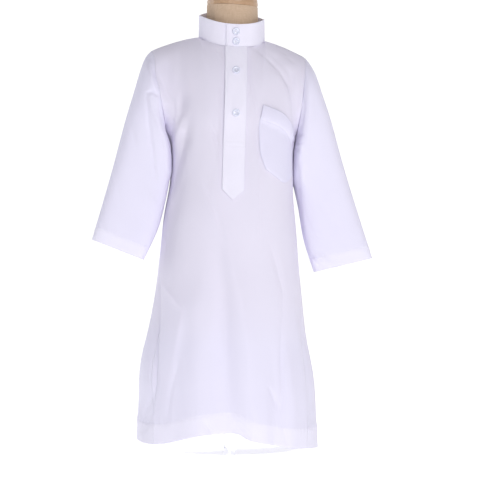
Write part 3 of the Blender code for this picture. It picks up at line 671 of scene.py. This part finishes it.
def sewOn(skin, edge, seams, reach):
    # brings an edge onto the edges that it is sewn to, with the cloth beside it following
    plain, now = edgeOf(skin.plain, edge), edgeOf(skin.points, edge)
    shift = np.zeros_like(now)
    for index, point in enumerate(plain):
        nearest = seam["far"]
        for other, otherEdge in seams:
            line, moved = edgeOf(other.plain, otherEdge), edgeOf(other.points, otherEdge)
            if other.closed:
                line, moved = np.concatenate([line, line[:1]]), np.concatenate([moved, moved[:1]])
            steps = np.diff(line, axis=0)
            share = np.clip(((point - line[:-1]) * steps).sum(axis=1) / (steps**2).sum(axis=1), 0, 1)
            gaps = np.linalg.norm(line[:-1] + steps * share[:, None] - point, axis=1)
            best = gaps.argmin()
            if gaps[best] < nearest:
                nearest = gaps[best]
                spot = moved[best] + (moved[best + 1] - moved[best]) * share[best]
                shift[index] = (spot - now[index]) * ease(seam["far"], seam["near"], nearest)
    if edge == "top":
        away, shift = skin.fromTop(), shift[None]
    else:
        away, shift = np.abs(skin.across - edgeOf(skin.across, edge)[:, None]), shift[:, None]
    skin.points = skin.points + shift * ease(reach, 0, away)[..., None]


def clothPaint(name, single, double, weave):
    # plain woven cloth, where a single layer shows what is behind it: over the form it is painted warmer for
    # the form's beige seen through it, and a little darker as painted shade for the light that the form keeps
    # from coming through
    paint = Paint(name, Roughness=0.88, Sheen_Weight=0.12, Sheen_Roughness=0.5)
    uv, threads = paint.woven(weave)
    slub = paint.noise(paint.stretched(uv, (260, 2600, 1)), 1.0, 2.0, dimensions="2D")
    clouds = paint.noise(uv, 16.0, 3.0, dimensions="2D")
    layers, form = (paint.node("Attribute", {"attribute_name": name}, out=2) for name in ("layers", "form"))
    colour = paint.mix(layers, single, double)
    # the form's beige seen through the cloth, with a little painted shade where the form keeps light from
    # coming through
    colour = paint.mix(form * 0.42, colour, shade(230, 223, 234))
    colour = paint.mix((clouds - 0.5) * 0.16 + 0.04, colour, shade(214, 212, 232))
    paint.set(Base_Color=colour, Roughness=(slub - 0.5) * 0.1 + 0.88)
    paint.bump(threads * 0.5 + slub * 0.8 + clouds * 1.5, 0.00006, 0.5)
    return paint


def threadPaint():
    paint = Paint("thread", Roughness=0.7, Sheen_Weight=0.2)
    twist = paint.noise(paint.objectPlace(), 2400.0, 1.0)
    paint.set(Base_Color=paint.mix(twist, shade(232, 230, 248), shade(247, 245, 255)))
    paint.bump(twist, 0.00003, 0.5)
    return paint


def pearlPaint():
    paint = Paint("pearl", Coat_Weight=0.6, Coat_Roughness=0.08, IOR=1.52)
    clouds = paint.noise(paint.objectPlace(), 240.0, 3.0, 1.6)
    stops = [(0.3, (212, 217, 240)), (0.5, (228, 231, 249)), (0.7, (242, 242, 253))]
    stops = [(place, shade(*tone)[:3]) for place, tone in stops]
    colour = paint.node("ValToRGB", {"stops": stops}, {"Fac": clouds})
    paint.set(Base_Color=colour, Roughness=(clouds - 0.5) * 0.16 + 0.22)
    paint.bump(clouds, 0.00004, 0.4)
    return paint


def linenPaint(weave):
    paint = Paint("linen", Roughness=0.9, Sheen_Weight=0.15)
    uv, threads = paint.woven(weave)
    slub, warp = (
        paint.noise(paint.stretched(uv, scale), 1.0, 3.0, dimensions="2D")
        for scale in ((90, 1500, 1), (1500, 90, 1))
    )
    tone = (slub + warp - 1.0) * 0.9 + 0.5 + threads * 0.05
    paint.set(Base_Color=paint.mix(tone, shade(190, 162, 136), shade(218, 193, 168)))
    paint.bump(threads * 0.6 + slub + warp, 0.00012, 0.6)
    return paint


def beechPaint():
    paint = Paint("beech", Coat_Weight=0.3, Coat_Roughness=0.25)
    where = paint.objectPlace()
    fibres = paint.noise(paint.stretched(where, (30, 320, 320)), 1.0, 5.0, 0.4)
    fleck = paint.noise(paint.stretched(where, (260, 1900, 1900)), 1.0, 2.0)
    colour = paint.mix(fibres, shade(176, 138, 104), shade(206, 172, 140))
    paint.set(Base_Color=paint.mix((fleck - 0.5) * 0.8 + 0.1, colour, shade(150, 108, 76)))
    paint.set(Roughness=(fibres - 0.5) * 0.2 + 0.46)
    paint.bump(fibres + fleck * 0.5, 0.00008, 0.4)
    return paint


def acrylicPaint():
    # clear cast acrylic with a few fine scuffs
    paint = Paint("acrylic", Transmission_Weight=1.0, IOR=1.49)
    where = paint.objectPlace()
    scuffs, ripple = paint.noise(where, 60.0, 6.0), paint.noise(where, 14.0, 1.0)
    paint.set(Base_Color=paint.mix(scuffs, shade(250, 252, 253), shade(254, 255, 255)))
    paint.set(Roughness=(scuffs - 0.5) * 0.08 + 0.04)
    paint.bump(ripple, 0.00004, 0.3)
    return paint


weavePitch = {"cotton": 0.00042, "linen": 0.0008}
bodyPaint = clothPaint("cloth", shade(234, 231, 250), shade(241, 238, 255), weavePitch["cotton"])
firmPaint = clothPaint("doubleCloth", shade(232, 229, 250), shade(243, 240, 255), weavePitch["cotton"])
thread, pearl, linen, beech = threadPaint(), pearlPaint(), linenPaint(weavePitch["linen"]), beechPaint()
acrylic = acrylicPaint()
print("finishes made")


form = {
    "grid": (150, 112), "seams": (0.11, 0.25, 0.39, 0.5, 0.61, 0.75, 0.89), "seamWidth": 0.0035,
    "seamDepth": 0.9, "seamTop": (690, 672), "joint": 676, "jointWidth": 1.2, "jointDepth": 0.7,
    "sharp": math.radians(50), "touch": 4, "fade": 80,
}


def buildForm():
    points = regrid(readRows("form_torso", whole=True)[::-1], form["grid"], closed=True)
    skin = Skin(outward(points), closed=True)
    # princess seams, side seams and a seam down the back
    columns = np.arange(form["grid"][1]) / form["grid"][1]
    groove = sum(bell((columns - place + 0.5) % 1 - 0.5, form["seamWidth"]) for place in form["seams"])
    skin.push(-form["seamDepth"] * groove[None, :] * ease(*form["seamTop"], skin.points[..., 2]))
    # the joint between neck and shoulders
    skin.push(-form["jointDepth"] * bell(skin.points[..., 2] - form["joint"], form["jointWidth"]))
    mesh = buildMesh("dressForm", skin)
    bm = bmesh.new()
    bm.from_mesh(mesh)
    bmesh.ops.holes_fill(bm, edges=[edge for edge in bm.edges if edge.is_boundary], sides=0)
    bm.to_mesh(mesh)
    bm.free()
    mesh.set_sharp_from_angle(angle=form["sharp"])
    addPiece("dressForm", mesh, linen, ["form_torso"])
    return mesh


formMesh = buildForm()
formTree = BVHTree.FromPolygons(
    [vert.co for vert in formMesh.vertices], [tuple(polygon.vertices) for polygon in formMesh.polygons]
)
for node, paint in (("form_neck_cap", beech), ("form_pole", acrylic), ("form_base", acrylic)):
    materials = frame["nodes"][node].data.materials
    materials.clear()
    materials.append(paint.material)
print("dress form made")


def formBehind(skin):
    # 1 where the form touches the cloth from behind, fading to 0 where it is far; the cloth's paint turns it
    # into the form's beige seen through the cloth and a little painted shade
    rows, columns = skin.points.shape[:2]
    share = np.zeros((rows, columns))
    room = toRoom(skin.points)
    for row in range(0, rows, 3):
        for column in range(0, columns, 3):
            near = formTree.find_nearest(Vector(room[row, column]))[3] * 1000
            away = min(max((near - form["touch"]) / form["fade"], 0), 1)
            share[row : row + 3, column : column + 3] = 1 - away
    return share


panel = {"grid": (270, 160)}
gore = {"grid": (210, 88), "flat": (0.161, 0.541), "area": 0.051}
body = {
    "front_panel": {**panel, "corners": ((-1, 0, -1), (1, 0, -1)), "flat": (0.323, 0.71), "area": 0.192},
    "back_panel": {**panel, "corners": ((1, 0, -1), (-1, 0, -1)), "flat": (0.313, 0.71), "area": 0.187},
    "side_gore_left": {**gore, "corners": ((0, -1, -1), (0, 1, -1))},
    "side_gore_right": {**gore, "corners": ((0, 1, -1), (0, -1, -1))},
}
# the hem puckers more at the front's sides: from x 80 to 125 and from y 60 to 20
hem = {"height": 31.0, "pucker": 0.25, "puckerAtSides": 0.7, "sides": (80, 125), "front": (60, 20)}


def buildBody(name, settings):
    points = regrid(readRows(name, corners=settings["corners"]), settings["grid"])
    reachesUp = name.endswith("panel")
    skin = Skin(softenBelowNeck(points) if reachesUp else points)
    crease(skin)
    seamGrooves(skin, top=reachesUp)
    beside = ease(*hem["sides"], np.abs(skin.points[..., 0])) * ease(*hem["front"], skin.points[..., 1])
    turnUp(name, skin, hem["height"], hem["pucker"] + hem["puckerAtSides"] * beside, onForm=True)


def addCloth(name):
    skin = skins[name]
    mesh = buildMesh(name + "_cloth", skin, attributes[name])
    piece = addPiece(name + "_cloth", mesh, bodyPaint, [name])
    giveWall(piece, bandThickness)
    area = sum(polygon.area for polygon in mesh.polygons)
    wide, long = 2 * skin.across.max(), skin.up.max()
    print(f"{name}: {wide:.0f} mm wide, {long:.0f} mm long, {area:.4f} square metres")


for name, settings in body.items():
    buildBody(name, settings)
print("body shaped")


sleeve = {"grid": (180, 144), "flat": (0.385, 0.367), "area": 0.084}
sleeves = {
    "sleeve_left": {**sleeve, "inner": (-1, 0, -0.5)},
    "sleeve_right": {**sleeve, "inner": (1, 0, -0.5)},
}
cuff = {"height": 21.0, "pucker": 0.3}
sleeveFlat = {"share": 0.28, "from": 8.0, "full": 75.0}
sleeveTouch = {"low": 424, "full": 442, "level": 482, "top": 508, "reach": 2.8, "facing": (0.1, 0.7)}
underSeam = {"depth": 0.4, "width": 1.4}


def flatten(points):
    # A solid's sleeve is rounder than one of cloth, which hangs flat in front and behind. Each ring is made
    # squarer, less so towards the armhole.
    centre = points.mean(axis=1, keepdims=True)
    arm = points - centre
    flat = arm * np.array([1.0, 0.0, 1.0])
    longest = np.linalg.norm(flat, axis=2).argmax(axis=1)
    wide = flat[np.arange(len(flat)), longest][:, None]
    width = np.linalg.norm(wide, axis=2)
    wide = wide / width[..., None]
    depth = np.abs(arm[..., 1]).max(axis=1, keepdims=True)
    up = distances(centre[:, 0])
    power = 1 - sleeveFlat["share"] * ease(sleeveFlat["from"], sleeveFlat["full"], up[-1] - up)[:, None]
    across, through = (arm * wide).sum(axis=2) / width, arm[..., 1] / depth
    newAcross, newThrough = (np.sign(v) * np.abs(v) ** power for v in (across, through))
    moved = points + wide * ((newAcross - across) * width)[..., None]
    moved[..., 1] += (newThrough - through) * depth
    return moved


def buildSleeve(name, settings):
    rows = readRows(name, corners=((0, 0, 1), settings["inner"]), tube=True)[::-1]
    points = regrid(rows, settings["grid"], closed=True)
    skin = Skin(outward(flatten(points)), closed=True)
    crease(skin)
    # the inside of the upper sleeve lies against the body
    side = np.sign(skin.points[..., 0].mean())
    height = skin.points[..., 2]
    against = ease(sleeveTouch["low"], sleeveTouch["full"], height)
    against = against * ease(sleeveTouch["top"], sleeveTouch["level"], height)
    skin.push(sleeveTouch["reach"] * against * ease(*sleeveTouch["facing"], -side * skin.normals[..., 0]))
    seamGrooves(skin, sides=False, top=True)
    # the seam under the arm
    skin.push(-underSeam["depth"] * bell(skin.across - skin.across[:, :1], underSeam["width"]))
    turnUp(name, skin, cuff["height"], cuff["pucker"], onForm=False)


for name, settings in sleeves.items():
    buildSleeve(name, settings)
print("sleeves shaped")

# the seams are sewn: sides, shoulders and armholes
front, back = skins["front_panel"], skins["back_panel"]
sideEdges = [(front, "left"), (front, "right"), (back, "left"), (back, "right")]
gores = [(skins["side_gore_left"], "top"), (skins["side_gore_right"], "top")]
sewOn(back, "top", [(front, "top")], reach=8.0)
for side, _ in gores:
    for edge in ("left", "right"):
        sewOn(side, edge, sideEdges, reach=12.0)
for name in sleeves:
    sewOn(skins[name], "top", sideEdges + gores, reach=12.0)
for name in [*body, *sleeves]:
    addCloth(name)
print("body and sleeves sewn")


# "seam" is how far the stitching runs from an edge, and "groove" how deep it pulls the cloth in
collar = {
    "centre": 3.0, "halfWidth": 53.5, "front": 50.0, "back": 44.0, "height": 659.0, "slope": 0.32,
    "bend": 1.5, "overEnd": -13.4, "underEnd": 384.0, "lap": 2.4, "lapFrom": 70, "lapFull": 30, "inset": 0.5,
    "gap": -0.8, "deep": 36.2, "leanIn": 0.4, "columns": 260, "rows": 22, "seam": 2.2, "groove": 0.3,
    "full": 0.18, "fullTurns": 0.075, "fullStart": 0.8, "fullFrom": 8, "edge": 0.0004, "thick": 1.7,
    "layers": 1, "flat": (0.37, 0.038),
}
placket = {
    "grid": (220, 28), "seam": 2.2, "groove": 0.28, "ripple": 0.3, "rippleTurns": 0.13, "rippleSides": (2, 9),
    "rippleTop": (640, 600), "closedAt": 492.0, "box": 7, "boxWidth": 0.9, "thick": 1.3, "layers": 1,
    "flat": (0.036, 0.25),
}
pocket = {
    "grid": (96, 60), "seam": 1.8, "groove": 0.3, "band": 24.0, "bandGroove": 0.5, "bandWidth": 1.0,
    "pressed": 0.5, "pressedOver": 5, "crumple": 0.45, "crumpleTurns": 0.27, "crumpleSlant": 0.05,
    "crumpleBelow": 4, "crumpleReach": 7, "crumpleSides": (1, 8), "thick": 0.9, "layers": 0.1,
    "flat": (0.07, 0.11),
}
stitchedWidth = 0.8


def collarPoints(turns, ups):
    turns, ups = np.meshgrid(turns, ups)
    angle = np.radians(turns)
    depth = np.where(np.cos(angle) > 0, collar["front"], collar["back"])
    x, y = collar["centre"] + collar["halfWidth"] * np.sin(angle), -depth * np.cos(angle)
    z = collar["height"] + collar["slope"] * y * np.abs(np.cos(angle)) ** (collar["bend"] - 1)
    lap = collar["lap"] * ease(collar["lapFrom"], collar["lapFull"], turns)
    out = lap - collar["inset"] - collar["leanIn"] * ups
    return np.stack(
        [x + out * np.sin(angle), y - out * np.cos(angle), z + collar["gap"] + collar["deep"] * ups], axis=-1
    )


def addDouble(name, node, skin, settings):
    # cloth of two layers
    skin.settle()
    none = 0 * skin.up
    mesh = buildMesh(name + "_cloth", skin, {"layers": none + settings["layers"], "form": none})
    piece = addPiece(name + "_cloth", mesh, firmPaint, [node])
    giveWall(piece, settings["thick"])
    skins[name] = skin
    return piece


def buildCollar():
    turns = np.linspace(collar["overEnd"], collar["underEnd"], collar["columns"])
    skin = Skin(collarPoints(turns, np.linspace(0, 1, collar["rows"])))
    # the cloth is a little full between the stitched edges
    edge = np.minimum(skin.up, skin.fromTop())
    skin.push(-collar["groove"] * bell(edge - collar["seam"], stitchedWidth))
    wave = np.sin(skin.across * collar["fullTurns"] + collar["fullStart"])
    skin.push(collar["full"] * wave * ease(0, collar["fullFrom"], edge))
    edgeRound = addDouble("collar", "collar_stand", skin, collar).modifiers.new("edge", "BEVEL")
    edgeRound.width, edgeRound.segments = collar["edge"], 2
    edgeRound.limit_method, edgeRound.angle_limit = "ANGLE", math.radians(60)


def buildPlacket():
    rows = readRows("placket", corners=((-1, 0, 1), (1, 0, 1)))[::-1]
    skin = Skin(regrid(rows, placket["grid"], straight=True))
    gap = skin.fromSides()
    edge = np.minimum(gap, np.minimum(skin.up, skin.fromTop()))
    skin.push(-placket["groove"] * bell(edge - placket["seam"], stitchedWidth))
    # small ripples between the buttons, and the box stitched where the opening ends
    z = skin.points[..., 2]
    ripple = placket["ripple"] * np.sin(z * placket["rippleTurns"])
    skin.push(ripple * ease(*placket["rippleSides"], gap) * ease(*placket["rippleTop"], z))
    for level in (placket["closedAt"], placket["closedAt"] - placket["box"]):
        skin.push(-placket["ripple"] * bell(z - level, placket["boxWidth"]))
    addDouble("placket", "placket", skin, placket)


def buildPocket():
    rows = readRows("chest_pocket", corners=((-1, 0, 1), (4, 0, 1)))[::-1]
    skin = Skin(regrid(rows, pocket["grid"]))
    gap, down = np.minimum(skin.fromSides(), skin.up), skin.fromTop()
    skin.push(-pocket["groove"] * bell(gap - pocket["seam"], stitchedWidth))
    skin.push(-pocket["bandGroove"] * bell(down - pocket["band"], pocket["bandWidth"]))
    # its stitched sides are pressed down on the chest
    skin.push(-pocket["pressed"] * ease(pocket["pressedOver"], 0, gap))
    crumple = np.sin(skin.across * pocket["crumpleTurns"] + pocket["crumpleSlant"] * down)
    crumple = crumple * bell(down - pocket["band"] - pocket["crumpleBelow"], pocket["crumpleReach"])
    skin.push(pocket["crumple"] * crumple * ease(*pocket["crumpleSides"], gap))
    addDouble("pocket", "chest_pocket", skin, pocket)


buildCollar()
print("collar made")
buildPlacket()
buildPocket()
print("placket and pocket made")


stitch = {"pitch": 2.7, "length": 1.8, "radius": 0.17, "lift": 0.06, "look": 0.5}


def readAt(place, places, grid):
    return [np.interp(place, places, grid[:, axis]) for axis in range(3)]


def levelPath(skin, distance, fromTop=False):
    # a line across the cloth at one distance up it, or down from its top, with the normals along it
    up = skin.fromTop() if fromTop else skin.up
    order = slice(None, None, -1 if fromTop else 1)
    return np.array([
        [readAt(distance, up[order, column], grid[order, column]) for grid in (skin.points, skin.normals)]
        for column in range(up.shape[1])
    ])


def sidePath(skin, distance, right):
    # a line up the cloth at one distance in from a side
    return np.array([
        [readAt(across[-1] - distance if right else across[0] + distance, across, grid) for grid in grids]
        for across, *grids in zip(skin.across, skin.points, skin.normals)
    ])


def addStitches(name, paths):
    bm = bmesh.new()
    for path in paths:
        points, normals = path[:, 0], path[:, 1]
        places = distances(points)
        count = int(places[-1] / stitch["pitch"])
        for index in range(count):
            centre = (index + 0.5) * places[-1] / count
            here, ahead, normal = (
                Vector(readAt(place, places, grid))
                for place, grid in ((centre, points), (centre + stitch["look"], points), (centre, normals))
            )
            along = (ahead - here).normalized()
            normal.normalize()
            side = along.cross(normal).normalized()
            turn = Matrix((along, side, normal)).transposed().to_4x4()
            size = Matrix.Diagonal((stitch["length"] / 2, stitch["radius"], stitch["radius"], 1))
            seat = Matrix.Translation(here + normal * stitch["lift"])
            bmesh.ops.create_icosphere(bm, subdivisions=1, radius=1, matrix=seat @ turn @ size)
    for vert in bm.verts:
        vert.co = toRoom(vert.co)
    bmesh.ops.recalc_face_normals(bm, faces=bm.faces)
    addPiece(name, asMesh(name, bm), thread)


for name in body:
    addStitches(name + "_hem_stitches", [levelPath(skins[name], hem["height"])])
for name in sleeves:
    addStitches(name + "_cuff_stitches", [levelPath(skins[name], cuff["height"])])
addStitches("collar_stitches", [
    levelPath(skins["collar"], collar["seam"]), levelPath(skins["collar"], collar["seam"], fromTop=True),
    sidePath(skins["collar"], collar["seam"], right=False),
])
for name, settings in (("placket", placket), ("pocket", pocket)):
    paths = [sidePath(skins[name], settings["seam"], right) for right in (False, True)]
    paths.append(levelPath(skins[name], settings["seam"]))
    if "band" in settings:
        paths.append(levelPath(skins[name], settings["band"], fromTop=True))
    addStitches(name + "_stitches", paths)
print("stitches made")


# profile: shares of the radius and of half the thickness, from the middle of the face round to the back's
button = {
    "profile": (
        (0, 0.2), (0.52, 0.22), (0.62, 0.42), (0.7, 0.85), (0.8, 1), (0.9, 0.86), (0.985, 0.3), (1, -0.1),
        (0.93, -0.7), (0.78, -1), (0, -1),
    ),
    "steps": 48, "holes": 1.35, "holeRadius": 0.62, "thread": 0.16, "threadApart": 0.17, "threadEnd": 0.08,
    "threadSeat": 0.2, "threadReach": 2.3, "sharp": math.radians(40),
}


def buildButton(name):
    node = frame["nodes"][name].data
    points = np.array([vert.co for vert in node.vertices])
    centre = (points.min(axis=0) + points.max(axis=0)) / 2
    axis = Vector(np.linalg.eigh(np.cov((points - points.mean(axis=0)).T))[1][:, 0])
    axis = axis if axis.y < 0 else -axis
    depth = np.ptp((points - centre) @ np.array(axis)) * 1000
    radius = np.linalg.norm(np.cross(points - centre, np.array(axis)), axis=1).max() * 1000
    half = depth / 2
    bm = bmesh.new()
    verts = [bm.verts.new((radius * out, 0, half * height)) for out, height in button["profile"]]
    edges = [bm.edges.new(pair) for pair in zip(verts[:-1], verts[1:])]
    bmesh.ops.spin(
        bm, geom=verts + edges, cent=(0, 0, 0), axis=(0, 0, 1), angle=math.tau, steps=button["steps"],
        use_merge=True,
    )
    bmesh.ops.remove_doubles(bm, verts=bm.verts, dist=1e-4)
    bmesh.ops.recalc_face_normals(bm, faces=bm.faces)
    whole = addObject("blank", asMesh("blank", bm))

    # four holes right through
    bm = bmesh.new()
    for quarter in range(4):
        angle = math.radians(45 + 90 * quarter)
        at = Matrix.Translation((button["holes"] * math.cos(angle), button["holes"] * math.sin(angle), 0))
        bmesh.ops.create_cone(
            bm, cap_ends=True, segments=16, radius1=button["holeRadius"], radius2=button["holeRadius"],
            depth=depth * 2, matrix=at,
        )
    drill = addObject("drill", asMesh("drill", bm))
    cut = whole.modifiers.new("holes", "BOOLEAN")
    cut.object = drill
    cut.solver = "EXACT"
    bpy.context.view_layer.update()
    mesh = bpy.data.meshes.new_from_object(whole.evaluated_get(bpy.context.evaluated_depsgraph_get()))
    for used in (whole, drill):
        bpy.data.objects.remove(used)
    mesh.name = name + "_pearl"
    place = Matrix.Translation(Vector(centre)) @ axis.to_track_quat("Z", "Y").to_matrix().to_4x4()
    place = place @ Matrix.Diagonal((0.001, 0.001, 0.001, 1))
    mesh.transform(place)
    mesh.materials.clear()
    mesh.shade_smooth()
    mesh.set_sharp_from_angle(angle=button["sharp"])
    addPiece(name + "_pearl", mesh, pearl, [name])

    # the thread crosses between the holes
    bm = bmesh.new()
    for turn in (45, 135):
        for offset in (-button["threadApart"], button["threadApart"]):
            cross = Matrix.Rotation(math.radians(turn), 4, "Z")
            cross = cross @ Matrix.Translation((0, offset, half * button["threadSeat"]))
            strand = bmesh.ops.create_cone(
                bm, cap_ends=True, segments=8, radius1=button["thread"], radius2=button["thread"],
                depth=button["holes"] * button["threadReach"],
                matrix=cross @ Matrix.Rotation(math.pi / 2, 4, "Y"),
            )["verts"]
            ends = {
                edge for vert in strand for edge in vert.link_edges
                if any(len(face.verts) > 4 for face in edge.link_faces)
            }
            bmesh.ops.bevel(
                bm, geom=list(ends), offset=button["threadEnd"], segments=2, profile=0.5, affect="EDGES",
                material=-1,
            )
    mesh = asMesh(name + "_thread", bm)
    mesh.transform(place)
    addPiece(name + "_thread", mesh, thread)


for name in ("collar_button_upper", "collar_button_lower", "placket_button_upper", "placket_button_lower"):
    buildButton(name)
print("buttons made")


studio = {
    "paper": shade(242, 242, 244), "lit": shade(140, 140, 140), "glow": 0.96, "frontGlow": 0.12,
    "glowFrom": -1.3, "glowFull": -0.55, "width": 16, "back": 5.0, "height": 7.0, "bend": 2.5, "near": 0.01,
}
lights = {
    "key": {"at": (1.3, -3.35, 1.95), "to": 0.4, "size": 1.2, "power": 46, "colour": (1.0, 0.985, 0.97)},
    "fill": {"at": (-0.4, -3.4, 0.75), "to": 0.4, "size": 0.8, "power": 20, "colour": (0.98, 0.98, 1.0)},
    "edge": {"at": (-2.2, 1.2, 1.0), "to": 0.35, "size": 1.5, "power": 10, "colour": (0.93, 0.95, 1.0)},
}
sky = {"Color": (0.95, 0.96, 1.0, 1.0), "Strength": 0.25}


def buildStudio():
    back, near = studio["back"], studio["near"]
    bm = bmesh.new()
    bmesh.ops.create_grid(bm, x_segments=2, y_segments=2, size=studio["width"])
    for vert in bm.verts:
        vert.co.y += back - studio["width"]
    far = [edge for edge in bm.edges if all(vert.co.y > back - near for vert in edge.verts)]
    for vert in bmesh.ops.extrude_edge_only(bm, edges=far)["geom"]:
        if isinstance(vert, bmesh.types.BMVert):
            vert.co.z += studio["height"]
    corner = [
        edge for edge in bm.edges
        if all(abs(vert.co.y - back) < near and vert.co.z < near for vert in edge.verts)
    ]
    bmesh.ops.bevel(
        bm, geom=corner, offset=studio["bend"], segments=12, profile=0.5, affect="EDGES", material=-1,
    )
    # the sweep is lit from within behind the object and beside it, and is plain paper further forward
    paint = Paint("paper", Roughness=0.95, Emission_Strength=studio["glow"])
    forward = paint.node("SeparateXYZ", {}, {"Vector": paint.objectPlace()}).output(1)
    share = paint.node(
        "MapRange", {"interpolation_type": "SMOOTHSTEP"},
        {"Value": forward, "From Min": studio["glowFrom"], "From Max": studio["glowFull"]},
    )
    front = studio["frontGlow"]
    paint.set(Base_Color=paint.mix(share, studio["paper"], studio["lit"]))
    paint.set(Emission_Color=paint.mix(share, (front, front, front, 1.0), (1.0, 1.0, 1.0, 1.0)))
    mesh = asMesh("studio", bm)
    mesh.materials.append(paint.material)
    addObject("studio", mesh)


buildStudio()
for name, settings in lights.items():
    data = bpy.data.lights.new(name, "AREA")
    data.size, data.energy, data.color = settings["size"], settings["power"], settings["colour"]
    lamp = addObject(name, data)
    lamp.location = settings["at"]
    toward = Vector((0, 0, settings["to"])) - Vector(settings["at"])
    lamp.rotation_euler = toward.to_track_quat("-Z", "Y").to_euler()

world = bpy.data.worlds.new("room")
world.use_nodes = True
for key, value in sky.items():
    world.node_tree.nodes["Background"].inputs[key].default_value = value
scene.world = world

data = bpy.data.cameras.new("camera")
data.lens, data.sensor_width = view["lens"], view["sensor"]
data.clip_end = 100.0
camera = addObject("camera", data)
camera.location = view["at"]
camera.rotation_euler = (math.radians(90), 0, math.radians(-view["yaw"]))
scene.camera = camera
scene.view_settings.view_transform = "Standard"
print("studio made")
